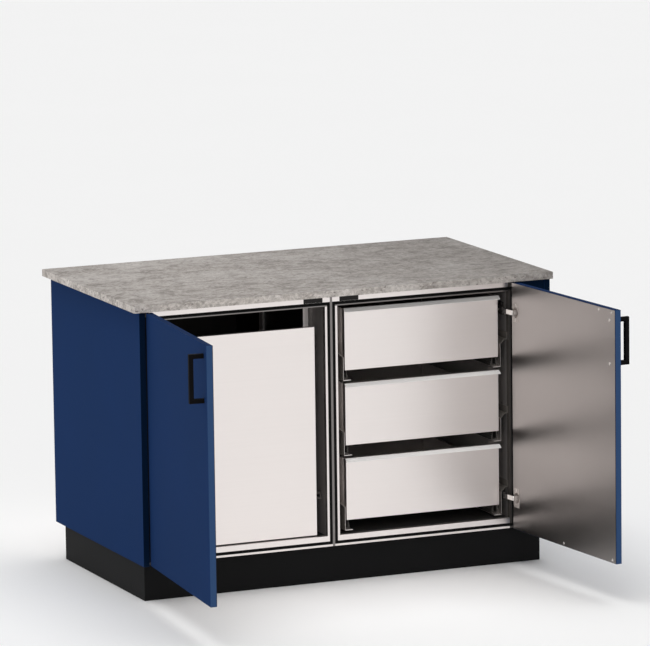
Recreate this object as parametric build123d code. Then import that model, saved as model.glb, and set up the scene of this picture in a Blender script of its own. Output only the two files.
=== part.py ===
from build123d import *
import os
from math import cos, pi, radians, sin

# Two-bay outdoor kitchen base cabinet with its doors standing open: a tall pull-out bin drawer in
# the left bay, three drawers in the right bay, a stone slab on top and a recessed toe kick.
# Millimetres. X runs along the front, Y from the front to the back, Z up from the floor. The
# origin lies on the floor under the middle of the cabinet body.

# Body
bay_width = 611.0
body_height = 775.0
body_depth = 749.0
toe_kick_height = 115.0
panel_thickness = 19.0
panel_edge_radius = 1.2
filler_width = 91.0
back_margin = 7.0

# Countertop slab
slab_thickness = 22.0
slab_overhang_left = 24.5
slab_overhang_front = 23.5
slab_overhang_back = 10.5
slab_edge_radius = 2.0

# Toe kick
kick_board = 16.0
kick_setback_front = 46.0
kick_setback_back = 32.0
foot_pad_radius = 24.0
foot_pad_height = 9.0
foot_pad_slope = 48.0
foot_stem_radius = 12.0
foot_socket_radius = 19.0
foot_socket_height = 34.0
foot_inset = 95.0
foot_sides = 8

# Stainless boxes: an outer shell, an inner liner and a folded front frame with a rain channel
sheet = 1.5
frame_setback = 22.0
frame_depth = 17.0
channel_depth = 12.0
rim_side = 3.7
rim_top = 22.0
rim_bottom = 6.3
channel_width = 9.5
lip_width = 7.0
lip_width_top = 3.5
lip_width_bottom = 16.7
liner_back_gap = 6.0
gasket_clearance = 0.3
gasket_recess = 1.0
gasket_groove_width = 2.4
gasket_groove_depth = 1.6

# Spacer rails between the right box and the right side panel
spacer_rail = 40.0
spacer_inset = 60.0

# Magnetic catches
catch_width = 58.0
catch_height = 15.0
catch_depth = 13.0
catch_stand = 0.6
catch_from_stile = 30.0
catch_drop = 4.5
catch_clearance = 0.3
catch_slot_height = 3.0

# Doors
door_slab = 19.0
door_liner = 1.5
door_liner_inset = 1.0
door_gap_hinge = 2.0
door_gap_middle = 1.5
door_gap_top = 4.0
door_gap_bottom = 3.0
door_open_angle = 95.0
door_axis_out = 2.0

# Door pulls
pull_bar = 13.0
pull_spacing = 131.0
pull_reach = 44.5
pull_from_edge = 31.0
pull_below_top = 34.0
pull_edge_radius = 1.0

# Screws of the door liners and pulls
screw_head_radius = 4.2
screw_head_slope = 50.0
screw_head_sides = 12
screw_shank_radius = 1.7
screw_shank_sides = 8
screw_shank_length = 9.0
screw_frame_clearance = 0.4
pull_screw_head_radius = 5.0
liner_screw_top = 10.0
striker_screw_spacing = 72.0
striker_screw_from_edge = 20.0

# Concealed hinges
hinge_height = 103.0
hinge_from_top = 94.0
cup_radius = 17.5
cup_depth = 11.0
cup_wall = 1.2
cup_from_edge = 22.5
cup_fit = 0.15
cup_flange_thickness = 1.0
cup_flange_width = 30.0
cup_flange_height = 60.0
cup_knuckle_start = 19.5
cup_knuckle_width = 6.5
cup_knuckle_height = 12.0
cup_knuckle_clearance = 0.25
link_axis_inset = 36.0
link_axis_depth = 6.0
link_length = 58.0
link_eye_radius = 4.0
link_half_width = 3.0
link_height = 14.0
link_pin_radius = 2.2
link_pin_clearance = 0.08
link_side_clearance = 0.4
arm_cheek = 2.0
arm_length = 70.0
arm_body_half_width = 4.0
arm_plate_thickness = 2.0
arm_plate_height = 40.0
arm_plate_width = 34.0
arm_plate_start = 34.0
arm_fork_gap = 1.2

# Drawer fronts
drawer_levels = ("lower", "centre", "upper")
front_side_gap = 49.5
front_setback = 15.0
front_return = 18.0
drawer_gap = 40.4
drawer_bottom_gap = 73.2
drawer_top_gap = 48.0
lip_reach = 14.0
lip_drop = 9.5
lip_overrun = 2.3
tall_front_bottom = 36.0
tall_front_top_gap = 97.5

# Drawer trays
tray_side_inset = 2.5
tray_height = 128.0
tray_length = 560.0
tray_rim_width = 6.0
tray_rim_height = 3.0

# Telescopic runners: three nested channels
runner_width = 22.0
runner_length = 540.0
runner_play = 0.4
runner_fixed_height = 13.0
runner_middle_height = 17.0
runner_drop = 29.5
runner_front_gap = 1.0
drawer_travel = 480.0

# Bent brackets that carry the drawer runners
bracket_plate_inset = 42.2
bracket_sheet = 2.0
bracket_foot = 24.0
bracket_rise = 40.0
bracket_slope = 13.0
bracket_wall_flange = 22.0
bracket_front = 34.5

# Bin drawer
strap_width = 29.0
strap_depth = 6.5
strap_front = 132.0
strap_rear = 478.0
bin_runner_height = 118.0
cradle_height = 175.0
cradle_window_margin = 45.0
cradle_window_height = 66.0
cradle_window_rise = 22.0
hoop_tube = 15.0
hoop_height = 470.0
hoop_inset = 6.0
bin_side_clearance = 32.5
bin_length = 232.0
bin_height = 505.0
bin_wall = 2.4
bin_taper = 22.0
bin_corner_radius = 28.0
bin_corner_flats = 3
bin_rim_width = 9.0
bin_rim_height = 14.0
bin_first = 34.0
bin_pitch = 268.0

# Overrun for cutting tools
cut_over = 1.0

# Places that follow from the sizes above
body_width = 2 * panel_thickness + 2 * bay_width + filler_width
left_x = -body_width / 2
right_x = body_width / 2
front_y = -body_depth / 2
back_y = body_depth / 2
base_z = toe_kick_height
top_z = toe_kick_height + body_height
left_bay_x = left_x + panel_thickness
stile_x = left_bay_x + bay_width
right_bay_end_x = stile_x + bay_width
frame_y = front_y + frame_setback
frame_back_y = frame_y + frame_depth
shell_back_y = back_y - back_margin
side_border = rim_side + channel_width + lip_width
top_border = rim_top + channel_width + lip_width_top
bottom_border = rim_bottom + channel_width + lip_width_bottom
front_y_face = frame_y + front_setback
front_width = bay_width - 2 * front_side_gap
drawer_space = body_height - drawer_bottom_gap - drawer_top_gap
drawer_front_height = (drawer_space + drawer_gap) / len(drawer_levels) - drawer_gap
drawer_pitch = drawer_front_height + drawer_gap
tall_front_height = body_height - tall_front_bottom - tall_front_top_gap
screw_head_height = frame_setback - door_slab - door_liner - screw_frame_clearance
bin_width = front_width - 2 * (tray_side_inset + hoop_inset + hoop_tube + bin_side_clearance)


def block(x0, x1, y0, y1, z0, z1):
    """Return the box between two opposite corners."""
    size = (x1 - x0, y1 - y0, z1 - z0)
    return Pos((x0 + x1) / 2, (y0 + y1) / 2, (z0 + z1) / 2) * Box(*size)


def joined(solids):
    """Fuse a list of overlapping or touching solids into one."""
    whole = solids[0]
    for solid in solids[1:]:
        whole = whole + solid
    return whole


def softened(solid, radius, axis, end=-1):
    """Round the edges around the face that lies furthest along an axis."""
    face = solid.faces().sort_by(axis)[end]
    return fillet(face.edges(), radius)


def ring(outer, inner, y0, y1):
    """Return a rectangular ring standing in the front plane; rectangles are (x0, x1, z0, z1)."""
    body = block(outer[0], outer[1], y0, y1, outer[2], outer[3])
    return body - block(inner[0], inner[1], y0 - cut_over, y1 + cut_over, inner[2], inner[3])


def inset(rectangle, side, bottom, top):
    """Shrink a front rectangle by its side, bottom and top borders."""
    x0, x1, z0, z1 = rectangle
    return (x0 + side, x1 - side, z0 + bottom, z1 - top)


def folded(path, thickness, place, run):
    """Fold a sheet along a path of flat points and run it out along the third direction.

    place turns a flat point into a place in space, run is the vector of the extrusion, and the
    thickness lies to the left of the path.
    """
    lines = [Vector(*b) - Vector(*a) for a, b in zip(path, path[1:])]
    normals = [Vector(-line.Y, line.X).normalized() for line in lines]
    offset = []
    for index, point in enumerate(path):
        before = normals[max(index - 1, 0)]
        after = normals[min(index, len(normals) - 1)]
        mitre = (before + after) / (1 + before.dot(after))
        offset.append((point[0] + thickness * mitre.X, point[1] + thickness * mitre.Y))
    outline = [place(*point) for point in path + offset[::-1]]
    return extrude(make_face(Polyline(*outline, close=True)), amount=run.length, dir=run)


def prism(radius, sides, length, slope=0):
    """Upright prism on Z = 0 with its corners on a circle; slope leans its sides inward."""
    return extrude(RegularPolygon(radius, sides), amount=length, taper=slope)


def export(node, shape):
    """Write one node as a STEP file in parts/."""
    solids = shape.solids() if hasattr(shape, "solids") else ShapeList(shape)
    body = solids[0] if len(solids) == 1 else Compound(children=list(solids))
    export_step(body, "parts/" + node + ".step")


def mirrored(shape):
    """Mirror a left-hand piece about the middle stile to its right-hand place."""
    return mirror(shape, about=Plane.YZ.offset(stile_x))


# Countertop, panels and toe kick


def countertop():
    """Stone slab with a small round on its upper edge."""
    slab = block(left_x - slab_overhang_left, right_x, front_y - slab_overhang_front,
                 back_y + slab_overhang_back, top_z, top_z + slab_thickness)
    return softened(slab, slab_edge_radius, Axis.Z)


def side_panel(outer_x, inner_x):
    """Full-depth end panel with softened front edges."""
    panel = block(min(outer_x, inner_x), max(outer_x, inner_x), front_y, back_y, base_z, top_z)
    return softened(panel, panel_edge_radius, Axis.Y, 0)


def filler_panel():
    """Upright filler that closes the front between the right box and the right end panel."""
    panel = block(right_bay_end_x, right_x - panel_thickness, front_y, front_y + panel_thickness,
                  base_z, top_z)
    return softened(panel, panel_edge_radius, Axis.Y, 0)


def kick_front():
    """Front toe-kick board."""
    y0 = front_y + kick_setback_front
    return block(left_bay_x, right_x - panel_thickness, y0, y0 + kick_board, 0, toe_kick_height)


def kick_back():
    """Back toe-kick board."""
    y1 = back_y - kick_setback_back
    return block(left_bay_x, right_x - panel_thickness, y1 - kick_board, y1, 0, toe_kick_height)


def kick_side(x0):
    """Side or middle toe-kick board between the front and back boards."""
    y0 = front_y + kick_setback_front + kick_board
    y1 = back_y - kick_setback_back - kick_board
    return block(x0, x0 + kick_board, y0, y1, 0, toe_kick_height)


def levelling_feet():
    """Eight screw feet, four under each box: pad, stem and socket."""
    pad = prism(foot_pad_radius, foot_sides, foot_pad_height, foot_pad_slope)
    stem = prism(foot_stem_radius, foot_sides, toe_kick_height)
    socket = prism(foot_socket_radius, foot_sides, foot_socket_height)
    foot = joined([pad, stem, Pos(0, 0, toe_kick_height - foot_socket_height) * socket])
    ys = (front_y + kick_setback_front + foot_inset, back_y - kick_setback_back - foot_inset)
    xs = [x for bay_x in (left_bay_x, stile_x)
          for x in (bay_x + foot_inset, bay_x + bay_width - foot_inset)]
    return [Pos(x, y, 0) * foot for x in xs for y in ys]


def spacer_rails():
    """Four square rails that tie the right end panel to the right box."""
    x0 = right_bay_end_x
    x1 = right_x - panel_thickness
    rails = []
    for y in (front_y + spacer_inset, shell_back_y - spacer_inset - spacer_rail):
        for z in (base_z + sheet, top_z - spacer_rail - sheet):
            tube = block(x0, x1, y, y + spacer_rail, z, z + spacer_rail)
            bore = block(x0 - cut_over, x1 + cut_over, y + sheet, y + spacer_rail - sheet,
                         z + sheet, z + spacer_rail - sheet)
            rails.append(tube - bore)
    return rails


# Stainless boxes


def bay_rectangle(bay_x):
    """Front rectangle of a bay as (x0, x1, z0, z1)."""
    return (bay_x, bay_x + bay_width, base_z, top_z)


def opening_rectangle(bay_x):
    """Clear opening inside the folded frame."""
    return inset(bay_rectangle(bay_x), side_border, bottom_border, top_border)


def box_shell(bay_x):
    """Outer skin of the box: four sides and a back, open at the front frame."""
    outer = bay_rectangle(bay_x)
    inner = inset(outer, sheet, sheet, sheet)
    tube = ring(outer, inner, frame_back_y, shell_back_y)
    back = block(*outer[:2], shell_back_y - sheet, shell_back_y, *outer[2:])
    return tube + back


def box_liner(bay_x):
    """Inner tub of the box, flush with the inner lip of the frame."""
    inner = opening_rectangle(bay_x)
    outer = inset(inner, -sheet, -sheet, -sheet)
    liner_back_y = shell_back_y - sheet - liner_back_gap
    tube = ring(outer, inner, frame_back_y, liner_back_y)
    back = block(*outer[:2], liner_back_y - sheet, liner_back_y, *outer[2:])
    return tube + back


def catch_start(bay_x):
    """Left edge of a bay's magnetic catch: both lie beside the middle stile."""
    if bay_x < stile_x:
        return stile_x - catch_from_stile - catch_width
    return stile_x + catch_from_stile


def catch_window(bay_x):
    """Cut-out in the upper rim that takes the magnetic catch."""
    x0 = catch_start(bay_x) - catch_clearance
    z1 = top_z - catch_drop + catch_clearance
    return block(x0, x0 + catch_width + 2 * catch_clearance, frame_y - cut_over,
                 frame_y + sheet + cut_over,
                 z1 - catch_height - 2 * catch_clearance, z1)


def box_frame(bay_x):
    """Folded front frame: outer rim, rain channel and inner lip, all from one sheet."""
    bay = bay_rectangle(bay_x)
    rim = inset(bay, rim_side, rim_bottom, rim_top)
    lip = inset(rim, channel_width, channel_width, channel_width)
    opening = opening_rectangle(bay_x)
    channel_back = frame_y + channel_depth
    pieces = [
        ring(bay, inset(bay, sheet, sheet, sheet), frame_y, frame_back_y),
        ring(bay, rim, frame_y, frame_y + sheet),
        ring(inset(rim, -sheet, -sheet, -sheet), rim, frame_y, channel_back + sheet),
        ring(inset(rim, -sheet, -sheet, -sheet), inset(lip, sheet, sheet, sheet),
             channel_back, channel_back + sheet),
        ring(lip, inset(lip, sheet, sheet, sheet), frame_y, channel_back + sheet),
        ring(lip, opening, frame_y, frame_y + sheet),
        ring(inset(opening, -sheet, -sheet, -sheet), opening, frame_y, frame_back_y),
    ]
    return joined(pieces) - catch_window(bay_x)


def gasket(bay_x):
    """Rubber gasket that fills the rain channel almost to its face, with a drip groove."""
    rim = inset(bay_rectangle(bay_x), rim_side, rim_bottom, rim_top)
    play = gasket_clearance
    outer = inset(rim, play, play, play)
    width = channel_width - 2 * play
    inner = inset(outer, width, width, width)
    face = frame_y + gasket_recess
    strip = ring(outer, inner, face, frame_y + channel_depth)
    land = (width - gasket_groove_width) / 2
    groove = ring(inset(outer, land, land, land),
                  inset(inner, -land, -land, -land),
                  face - cut_over, face + gasket_groove_depth)
    return strip - groove


def catch(bay_x):
    """Magnetic catch: a body slotted along its face, with a ledge behind the upper rim."""
    x0 = catch_start(bay_x)
    z1 = top_z - catch_drop
    z0 = z1 - catch_height
    face = frame_y - catch_stand
    body = block(x0, x0 + catch_width, face, face + catch_depth, z0, z1)
    slot_depth = catch_stand / 2
    slot_z = (z0 + z1 - catch_slot_height) / 2
    slot = block(x0 - cut_over, x0 + catch_width + cut_over, face - cut_over, face + slot_depth,
                 slot_z, slot_z + catch_slot_height)
    ledge = block(x0, x0 + catch_width, frame_y + sheet, frame_y + sheet + slot_depth,
                  z1, z1 + catch_clearance + slot_depth)
    return (body + ledge) - slot


# Doors, modelled shut and then swung open about the hinge axis


def door_edges():
    """Hinge edge, free edge, bottom and top of the shut left door."""
    x0 = left_bay_x + door_gap_hinge
    x1 = stile_x - door_gap_middle
    return x0, x1, base_z + door_gap_bottom, top_z - door_gap_top


def hinge_axis():
    """Place of the left door's hinge axis."""
    return left_bay_x, front_y - door_axis_out


def swung(shape):
    """Swing a piece of the shut left door to its open rest pose."""
    x, y = hinge_axis()
    return Pos(x, y, 0) * Rot(0, 0, -door_open_angle) * Pos(-x, -y, 0) * shape


def hinge_heights():
    """Heights of the two hinges above the floor."""
    return base_z + hinge_height, top_z - hinge_from_top


def cup_centre_x():
    """Distance of the cup's axis from the cabinet's middle on the shut left door."""
    return left_bay_x + door_gap_hinge + cup_from_edge


def lying_cylinder(radius, x, z, y0, y1):
    """Cylinder whose axis runs from front to back."""
    solid = Cylinder(radius, y1 - y0)
    return Pos(x, (y0 + y1) / 2, z) * Rot(90, 0, 0) * solid


def lying_prism(radius, x, z, y0, y1):
    """Screw-hole or shank prism whose axis runs from front to back."""
    return Pos(x, y1, z) * Rot(90, 0, 0) * prism(radius, screw_shank_sides, y1 - y0)


def pull_x():
    """Centre line of the pull on the shut left door."""
    return stile_x - door_gap_middle - pull_from_edge


def pull_heights():
    """Heights of the pull's lower and upper arm."""
    upper = top_z - door_gap_top - pull_below_top
    return upper - pull_spacing, upper


def door_panel():
    """Door slab with softened outer edges, hinge-cup bores and pull-screw holes."""
    x0, x1, z0, z1 = door_edges()
    slab = block(x0, x1, front_y, front_y + door_slab, z0, z1)
    slab = softened(slab, panel_edge_radius, Axis.Y, 0)
    back = front_y + door_slab
    for z in hinge_heights():
        slab = slab - lying_cylinder(cup_radius + cup_fit, cup_centre_x(), z,
                                     back - cup_depth - cup_fit, back + cut_over)
    for z in pull_heights():
        slab = slab - lying_prism(screw_shank_radius + cup_fit, pull_x(), z,
                                  front_y - cut_over, back + cut_over)
    for x, z in liner_screw_places():
        slab = slab - lying_prism(screw_shank_radius, x, z,
                                  back + door_liner - screw_shank_length, back + cut_over)
    return slab


def door_lining():
    """Stainless sheet on the inner face of the door."""
    x0, x1, z0, z1 = door_edges()
    step = door_liner_inset
    y0 = front_y + door_slab
    y1 = y0 + door_liner
    sheet_face = block(x0 + step, x1 - step, y0, y1, z0 + step, z1 - step)
    for z in hinge_heights():
        sheet_face = sheet_face - lying_cylinder(cup_radius + cup_fit, cup_centre_x(), z,
                                                 y0 - cut_over, y1 + cut_over)
    for z in pull_heights():
        sheet_face = sheet_face - lying_prism(screw_shank_radius + cup_fit, pull_x(), z,
                                              y0 - cut_over, y1 + cut_over)
    for x, z in liner_screw_places():
        sheet_face = sheet_face - lying_prism(screw_shank_radius, x, z,
                                              y0 - cut_over, y1 + cut_over)
    return sheet_face


def door_pull():
    """Square-bar pull bent to a C, standing off the outer face on two arms."""
    low, high = pull_heights()
    half = pull_bar / 2
    x = pull_x()
    y1 = front_y
    y0 = front_y - pull_reach
    bar = block(x - half, x + half, y0, y0 + pull_bar, low - half, high + half)
    arms = [block(x - half, x + half, y0, y1, z - half, z + half) for z in (low, high)]
    pull = joined([bar] + arms)
    outer_edges = pull.edges().filter_by(Axis.Z).sort_by(Axis.Y)[:2]
    pull = fillet(outer_edges, pull_edge_radius)
    for z in (low, high):
        pull = pull - lying_prism(screw_shank_radius, x, z, y1 - screw_shank_length,
                                  y1 + cut_over)
    return pull


def pan_screw(radius, length):
    """Screw with a sloped pan head on Z = 0 and its shank below it."""
    head = prism(radius, screw_head_sides, screw_head_height, screw_head_slope)
    shank = prism(screw_shank_radius, screw_shank_sides, length + cut_over)
    return head + Pos(0, 0, -length) * shank


def liner_screw_places():
    """Places of the liner screws on the shut left door, as (x, z)."""
    x0, x1, z0, z1 = door_edges()
    right = x1 - striker_screw_from_edge
    upper = z1 - liner_screw_top
    lower = z0 + liner_screw_top
    middle = (x0 + x1) / 2
    return [
        (right - striker_screw_spacing, upper),
        (right, upper),
        (right, lower),
        (middle, lower),
    ]


def door_screws():
    """Liner screws and the two longer screws that hold the pull."""
    face = front_y + door_slab + door_liner
    turn = Rot(-90, 0, 0)
    screws = []
    for x, z in liner_screw_places():
        screw = pan_screw(screw_head_radius, screw_shank_length)
        screws.append(Pos(x, face, z) * turn * screw)
    for z in pull_heights():
        reach = door_slab + door_liner + screw_shank_length
        screw = pan_screw(pull_screw_head_radius, reach)
        screws.append(Pos(pull_x(), face, z) * turn * screw)
    return screws


def knuckle_top():
    """Inner end of the cup's knuckle on the shut door, just short of the open door's link."""
    x, y = hinge_axis()
    pivot_x, pivot_y = link_axis()
    turn = radians(door_open_angle)
    link_face = (pivot_x - x) * sin(turn) + (pivot_y - y) * cos(turn) - link_half_width
    return y + link_face - cup_knuckle_clearance


def hinge_cups():
    """Pressed hinge cups let into the door, each with its flange and knuckle."""
    face = front_y + door_slab + door_liner
    back = front_y + door_slab
    cups = []
    for z in hinge_heights():
        x = cup_centre_x()
        half_height = cup_flange_height / 2
        half_width = cup_flange_width / 2
        cup = lying_cylinder(cup_radius, x, z, back - cup_depth, face)
        hollow = lying_cylinder(cup_radius - cup_wall, x, z, back - cup_depth + cup_wall,
                                face + cut_over)
        flange = block(x - half_width, x + half_width, face, face + cup_flange_thickness,
                       z - half_height, z + half_height)
        mouth = lying_cylinder(cup_radius - cup_wall, x, z, face - cut_over,
                               face + cup_flange_thickness + cut_over)
        collar = lying_cylinder(cup_radius, x, z, face, face + cup_flange_thickness)
        knuckle_x = left_bay_x + door_gap_hinge + cup_knuckle_start
        half = cup_knuckle_height / 2
        knuckle = block(knuckle_x, knuckle_x + cup_knuckle_width, back - cup_depth,
                        knuckle_top(), z - half, z + half)
        cups.append(((cup - hollow) + (flange + collar - mouth)) + knuckle)
    return cups


# Hinge arms on the box and the links that reach out to the cups


def link_axis():
    """Place of the left links' pivot inside the box."""
    return left_bay_x + link_axis_inset, frame_y + link_axis_depth


def hinge_arms():
    """Mounting plate and forked arm of each hinge on the left box wall."""
    ax, ay = link_axis()
    wall = left_bay_x + side_border
    arms = []
    for z in hinge_heights():
        half_plate = arm_plate_height / 2
        plate_y = frame_y + arm_plate_start
        plate = block(wall, wall + arm_plate_thickness, plate_y, plate_y + arm_plate_width,
                      z - half_plate, z + half_plate)
        cheek_half = link_height / 2 + link_side_clearance + arm_cheek
        fork_y = ay + link_eye_radius + arm_fork_gap
        body = block(wall + arm_plate_thickness, ax + arm_body_half_width, fork_y,
                     ay + arm_length, z - cheek_half, z + cheek_half)
        relief = block(wall + arm_plate_thickness - cut_over, ax - arm_body_half_width,
                       fork_y - cut_over, plate_y, z - cheek_half - cut_over,
                       z + cheek_half + cut_over)
        cheeks = []
        for sign in (-1, 1):
            inner_z = z + sign * (link_height / 2 + link_side_clearance)
            outer_z = z + sign * cheek_half
            z0, z1 = min(inner_z, outer_z), max(inner_z, outer_z)
            ear = Pos(ax, ay, (z0 + z1) / 2) * Cylinder(link_eye_radius, z1 - z0)
            tab = block(ax - arm_body_half_width, ax + arm_body_half_width, ay, fork_y, z0, z1)
            cheeks += [ear, tab]
        pin = Pos(ax, ay, z) * Cylinder(link_pin_radius, 2 * cheek_half)
        arms.append(joined([plate, body - relief] + cheeks + [pin]))
    return arms


def hinge_links():
    """Links between the box arms and the door cups, in the open rest pose."""
    ax, ay = link_axis()
    links = []
    for z in hinge_heights():
        lean = door_open_angle - 90
        eye = Cylinder(link_eye_radius, link_height)
        end_y = -link_length + link_half_width
        stem = block(-link_half_width, link_half_width, end_y, 0,
                     -link_height / 2, link_height / 2)
        nose = Pos(0, end_y, 0) * Cylinder(link_half_width, link_height)
        bore = Cylinder(link_pin_radius + link_pin_clearance, link_height + 2 * cut_over)
        link = joined([eye, stem, nose]) - bore
        links.append(Pos(ax, ay, z) * Rot(0, 0, -lean) * link)
    return links


# Drawers


def drawer_height(index):
    """Lower edge of the drawer front, counted from the lowest drawer."""
    return base_z + drawer_bottom_gap + index * drawer_pitch


def drawer_front(bay_x, z0, height, with_lip):
    """Folded front pan, with the sloping finger lip of the small drawers."""
    x0 = bay_x + front_side_gap
    x1 = x0 + front_width
    y0 = front_y_face
    y1 = y0 + front_return
    z1 = z0 + height
    pan = block(x0, x1, y0, y1, z0, z1)
    pan = pan - block(x0 + sheet, x1 - sheet, y0 + sheet, y1 + cut_over, z0 + sheet, z1 - sheet)
    if not with_lip:
        return pan
    profile = [
        Vector(x0 - lip_overrun, y0 + sheet, z1),
        Vector(x0 - lip_overrun, y0, z1),
        Vector(x0 - lip_overrun, y0 - lip_reach, z1 - lip_drop),
        Vector(x0 - lip_overrun, y0 - lip_reach, z1 - lip_drop - sheet),
        Vector(x0 - lip_overrun, y0, z1 - 2 * sheet),
        Vector(x0 - lip_overrun, y0 + sheet, z1 - 2 * sheet),
    ]
    run = front_width + 2 * lip_overrun
    lip = extrude(make_face(Polyline(*profile, close=True)), amount=run, dir=(1, 0, 0))
    return pan + lip


def drawer_tray(bay_x, z0):
    """Open tray behind a drawer front, with a turned-in rim."""
    x0 = bay_x + front_side_gap + tray_side_inset
    x1 = x0 + front_width - 2 * tray_side_inset
    y0 = front_y_face + sheet
    y1 = y0 + tray_length
    floor_z = z0 + sheet
    top = floor_z + tray_height
    body = block(x0, x1, y0, y1, floor_z, top)
    hollow = block(x0 + sheet, x1 - sheet, y0 + sheet, y1 - sheet, floor_z + sheet,
                   top + cut_over)
    rim = block(x0, x1, y0, y1, top - tray_rim_height, top)
    rim = rim - block(x0 + tray_rim_width, x1 - tray_rim_width, y0 + tray_rim_width,
                      y1 - tray_rim_width, top - tray_rim_height - cut_over, top + cut_over)
    return (body - hollow) + rim


def upright_place(x, sign, y, z):
    """Return the function that stands a flat point (offset, height) up at x, y, z.

    The offset runs along X with the sign given.
    """
    def place(offset, height):
        return Vector(x + sign * offset, y, z + height)
    return place


def lying_place(x, sign, y, z):
    """Return the function that lays a flat point (offset, height) on its side at x, y, z.

    The height runs along X with the sign given, and the offset runs down or up to match.
    """
    def place(offset, height):
        return Vector(x + sign * height, y, z - sign * offset)
    return place


def channel(width, low, high, open_up):
    """U channel section as (offset, height) points on its own axis, for folded()."""
    half = width / 2
    if open_up:
        return [(-half, high), (-half, low), (half, low), (half, high)]
    return [(half, low), (half, high), (-half, high), (-half, low)]


def runner_set(place, run, stack):
    """Three nested channels: fixed, middle and moving member of one telescopic runner.

    place turns (offset, height) into a place in space and run is the vector of their length.
    """
    step = sheet + runner_play
    fixed = folded(channel(runner_width, 0, runner_fixed_height, True), sheet, place, run)
    middle_width = runner_width - 2 * step
    middle = folded(channel(middle_width, step, step + runner_middle_height, True), sheet,
                    place, run)
    moving_width = middle_width - 2 * step
    moving = folded(channel(moving_width, 2 * step, stack, False), sheet, place, run)
    return fixed, middle, moving


def drawer_runners(bay_x, z0):
    """Left and right undermount runner sets of one drawer: (fixed, middle, moving) lists."""
    foot_top = z0 - runner_drop
    stack = z0 + sheet - foot_top
    y0 = front_y_face + front_return + runner_front_gap
    run = Vector(0, runner_length, 0)
    inner = bracket_plate_inset + bracket_sheet + runner_width / 2
    sets = []
    for x in (bay_x + inner, bay_x + bay_width - inner):
        sets.append(runner_set(upright_place(x, 1, y0, foot_top), run, stack))
    return list(zip(*sets))


def drawer_brackets(bay_x):
    """Bent brackets on the box walls: wall flange, sloping shelf, upright plate and foot."""
    y0 = front_y + bracket_front
    length = front_y_face + front_return + runner_front_gap + runner_length - y0
    run = Vector(0, length, 0)
    brackets = []
    for index in range(len(drawer_levels)):
        z0 = drawer_height(index)
        foot = z0 - runner_drop - bracket_sheet
        shelf = z0 + bracket_rise + bracket_slope
        plate = bracket_plate_inset
        path = [
            (plate + bracket_foot + bracket_sheet, foot),
            (plate, foot),
            (plate, z0 + bracket_rise),
            (plate - bracket_slope, shelf),
            (side_border, shelf),
            (side_border, shelf + bracket_wall_flange),
        ]
        for place in (upright_place(bay_x, 1, y0, 0),
                      upright_place(bay_x + bay_width, -1, y0, 0)):
            brackets.append(folded(path[::-1], bracket_sheet, place, run))
    return brackets


# Bin drawer


def flat_place(z):
    """Return the function that lays a flat point (x, y) down at a height."""
    def place(x, y):
        return Vector(x, y, z)
    return place


def straps():
    """Folded upright straps on the left box walls that carry the bin runners."""
    x0, x1, z0, z1 = opening_rectangle(left_bay_x)
    pieces = []
    for y in (frame_y + strap_front, frame_y + strap_rear):
        for wall, sign in ((x0, 1), (x1, -1)):
            path = [(wall, y), (wall + sign * strap_depth, y),
                    (wall + sign * strap_depth, y + strap_width), (wall, y + strap_width)]
            path = path if sign > 0 else path[::-1]
            pieces.append(folded(path, sheet, flat_place(z0), Vector(0, 0, z1 - z0)))
    return pieces


def bin_runners():
    """Side runner sets of the bin drawer: (fixed, middle, moving) lists."""
    y0 = front_y_face + front_return + runner_front_gap
    z = base_z + tall_front_bottom + bin_runner_height
    run = Vector(0, runner_length, 0)
    wall = side_border + strap_depth
    stack = front_side_gap + tray_side_inset - wall
    sets = []
    for place in (lying_place(left_bay_x + wall, 1, y0, z),
                  lying_place(stile_x - wall, -1, y0, z)):
        sets.append(runner_set(place, run, stack))
    return list(zip(*sets))


def bin_cradle():
    """Sheet cradle that holds the bins: floor, back and windowed sides."""
    x0 = left_bay_x + front_side_gap + tray_side_inset
    x1 = x0 + front_width - 2 * tray_side_inset
    y0 = front_y_face + sheet
    y1 = y0 + tray_length
    z0 = base_z + tall_front_bottom + sheet
    z1 = z0 + cradle_height
    body = block(x0, x1, y0, y1, z0, z1)
    body = body - block(x0 + sheet, x1 - sheet, y0 + sheet, y1 - sheet, z0 + sheet, z1 + cut_over)
    margin = cradle_window_margin
    window_z = z0 + cradle_window_rise
    window = block(x0 - cut_over, x1 + cut_over, y0 + front_return + margin, y1 - margin,
                   window_z, window_z + cradle_window_height)
    return body - window


def bin_hoop():
    """Square-tube hoop round the bins, with two rear posts standing in the cradle."""
    x0 = left_bay_x + front_side_gap + tray_side_inset + hoop_inset
    x1 = left_bay_x + bay_width - front_side_gap - tray_side_inset - hoop_inset
    y0 = front_y_face + sheet
    y1 = y0 + tray_length - sheet - hoop_inset
    z0 = base_z + tall_front_bottom + hoop_height
    z1 = z0 + hoop_tube
    floor = base_z + tall_front_bottom + 2 * sheet
    bars = [
        block(x0, x0 + hoop_tube, y0, y1, z0, z1),
        block(x1 - hoop_tube, x1, y0, y1, z0, z1),
        block(x0, x1, y1 - hoop_tube, y1, z0, z1),
        block(x0, x1, y0, y0 + hoop_tube, z0, z1),
        block(x0, x0 + hoop_tube, y1 - hoop_tube, y1, floor, z0),
        block(x1 - hoop_tube, x1, y1 - hoop_tube, y1, floor, z0),
    ]
    return joined(bars)


def bin_section(width, length, radius, z):
    """Rectangle at a height, each corner turned in a few flats."""
    step = pi / 2 / bin_corner_flats
    points = []
    for index, (sx, sy) in enumerate(((1, 1), (-1, 1), (-1, -1), (1, -1))):
        x = sx * (width / 2 - radius)
        y = sy * (length / 2 - radius)
        for flat in range(bin_corner_flats + 1):
            angle = index * pi / 2 + flat * step
            points.append((x + radius * cos(angle), y + radius * sin(angle), z))
    return make_face(Polyline(*points, close=True))


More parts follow.
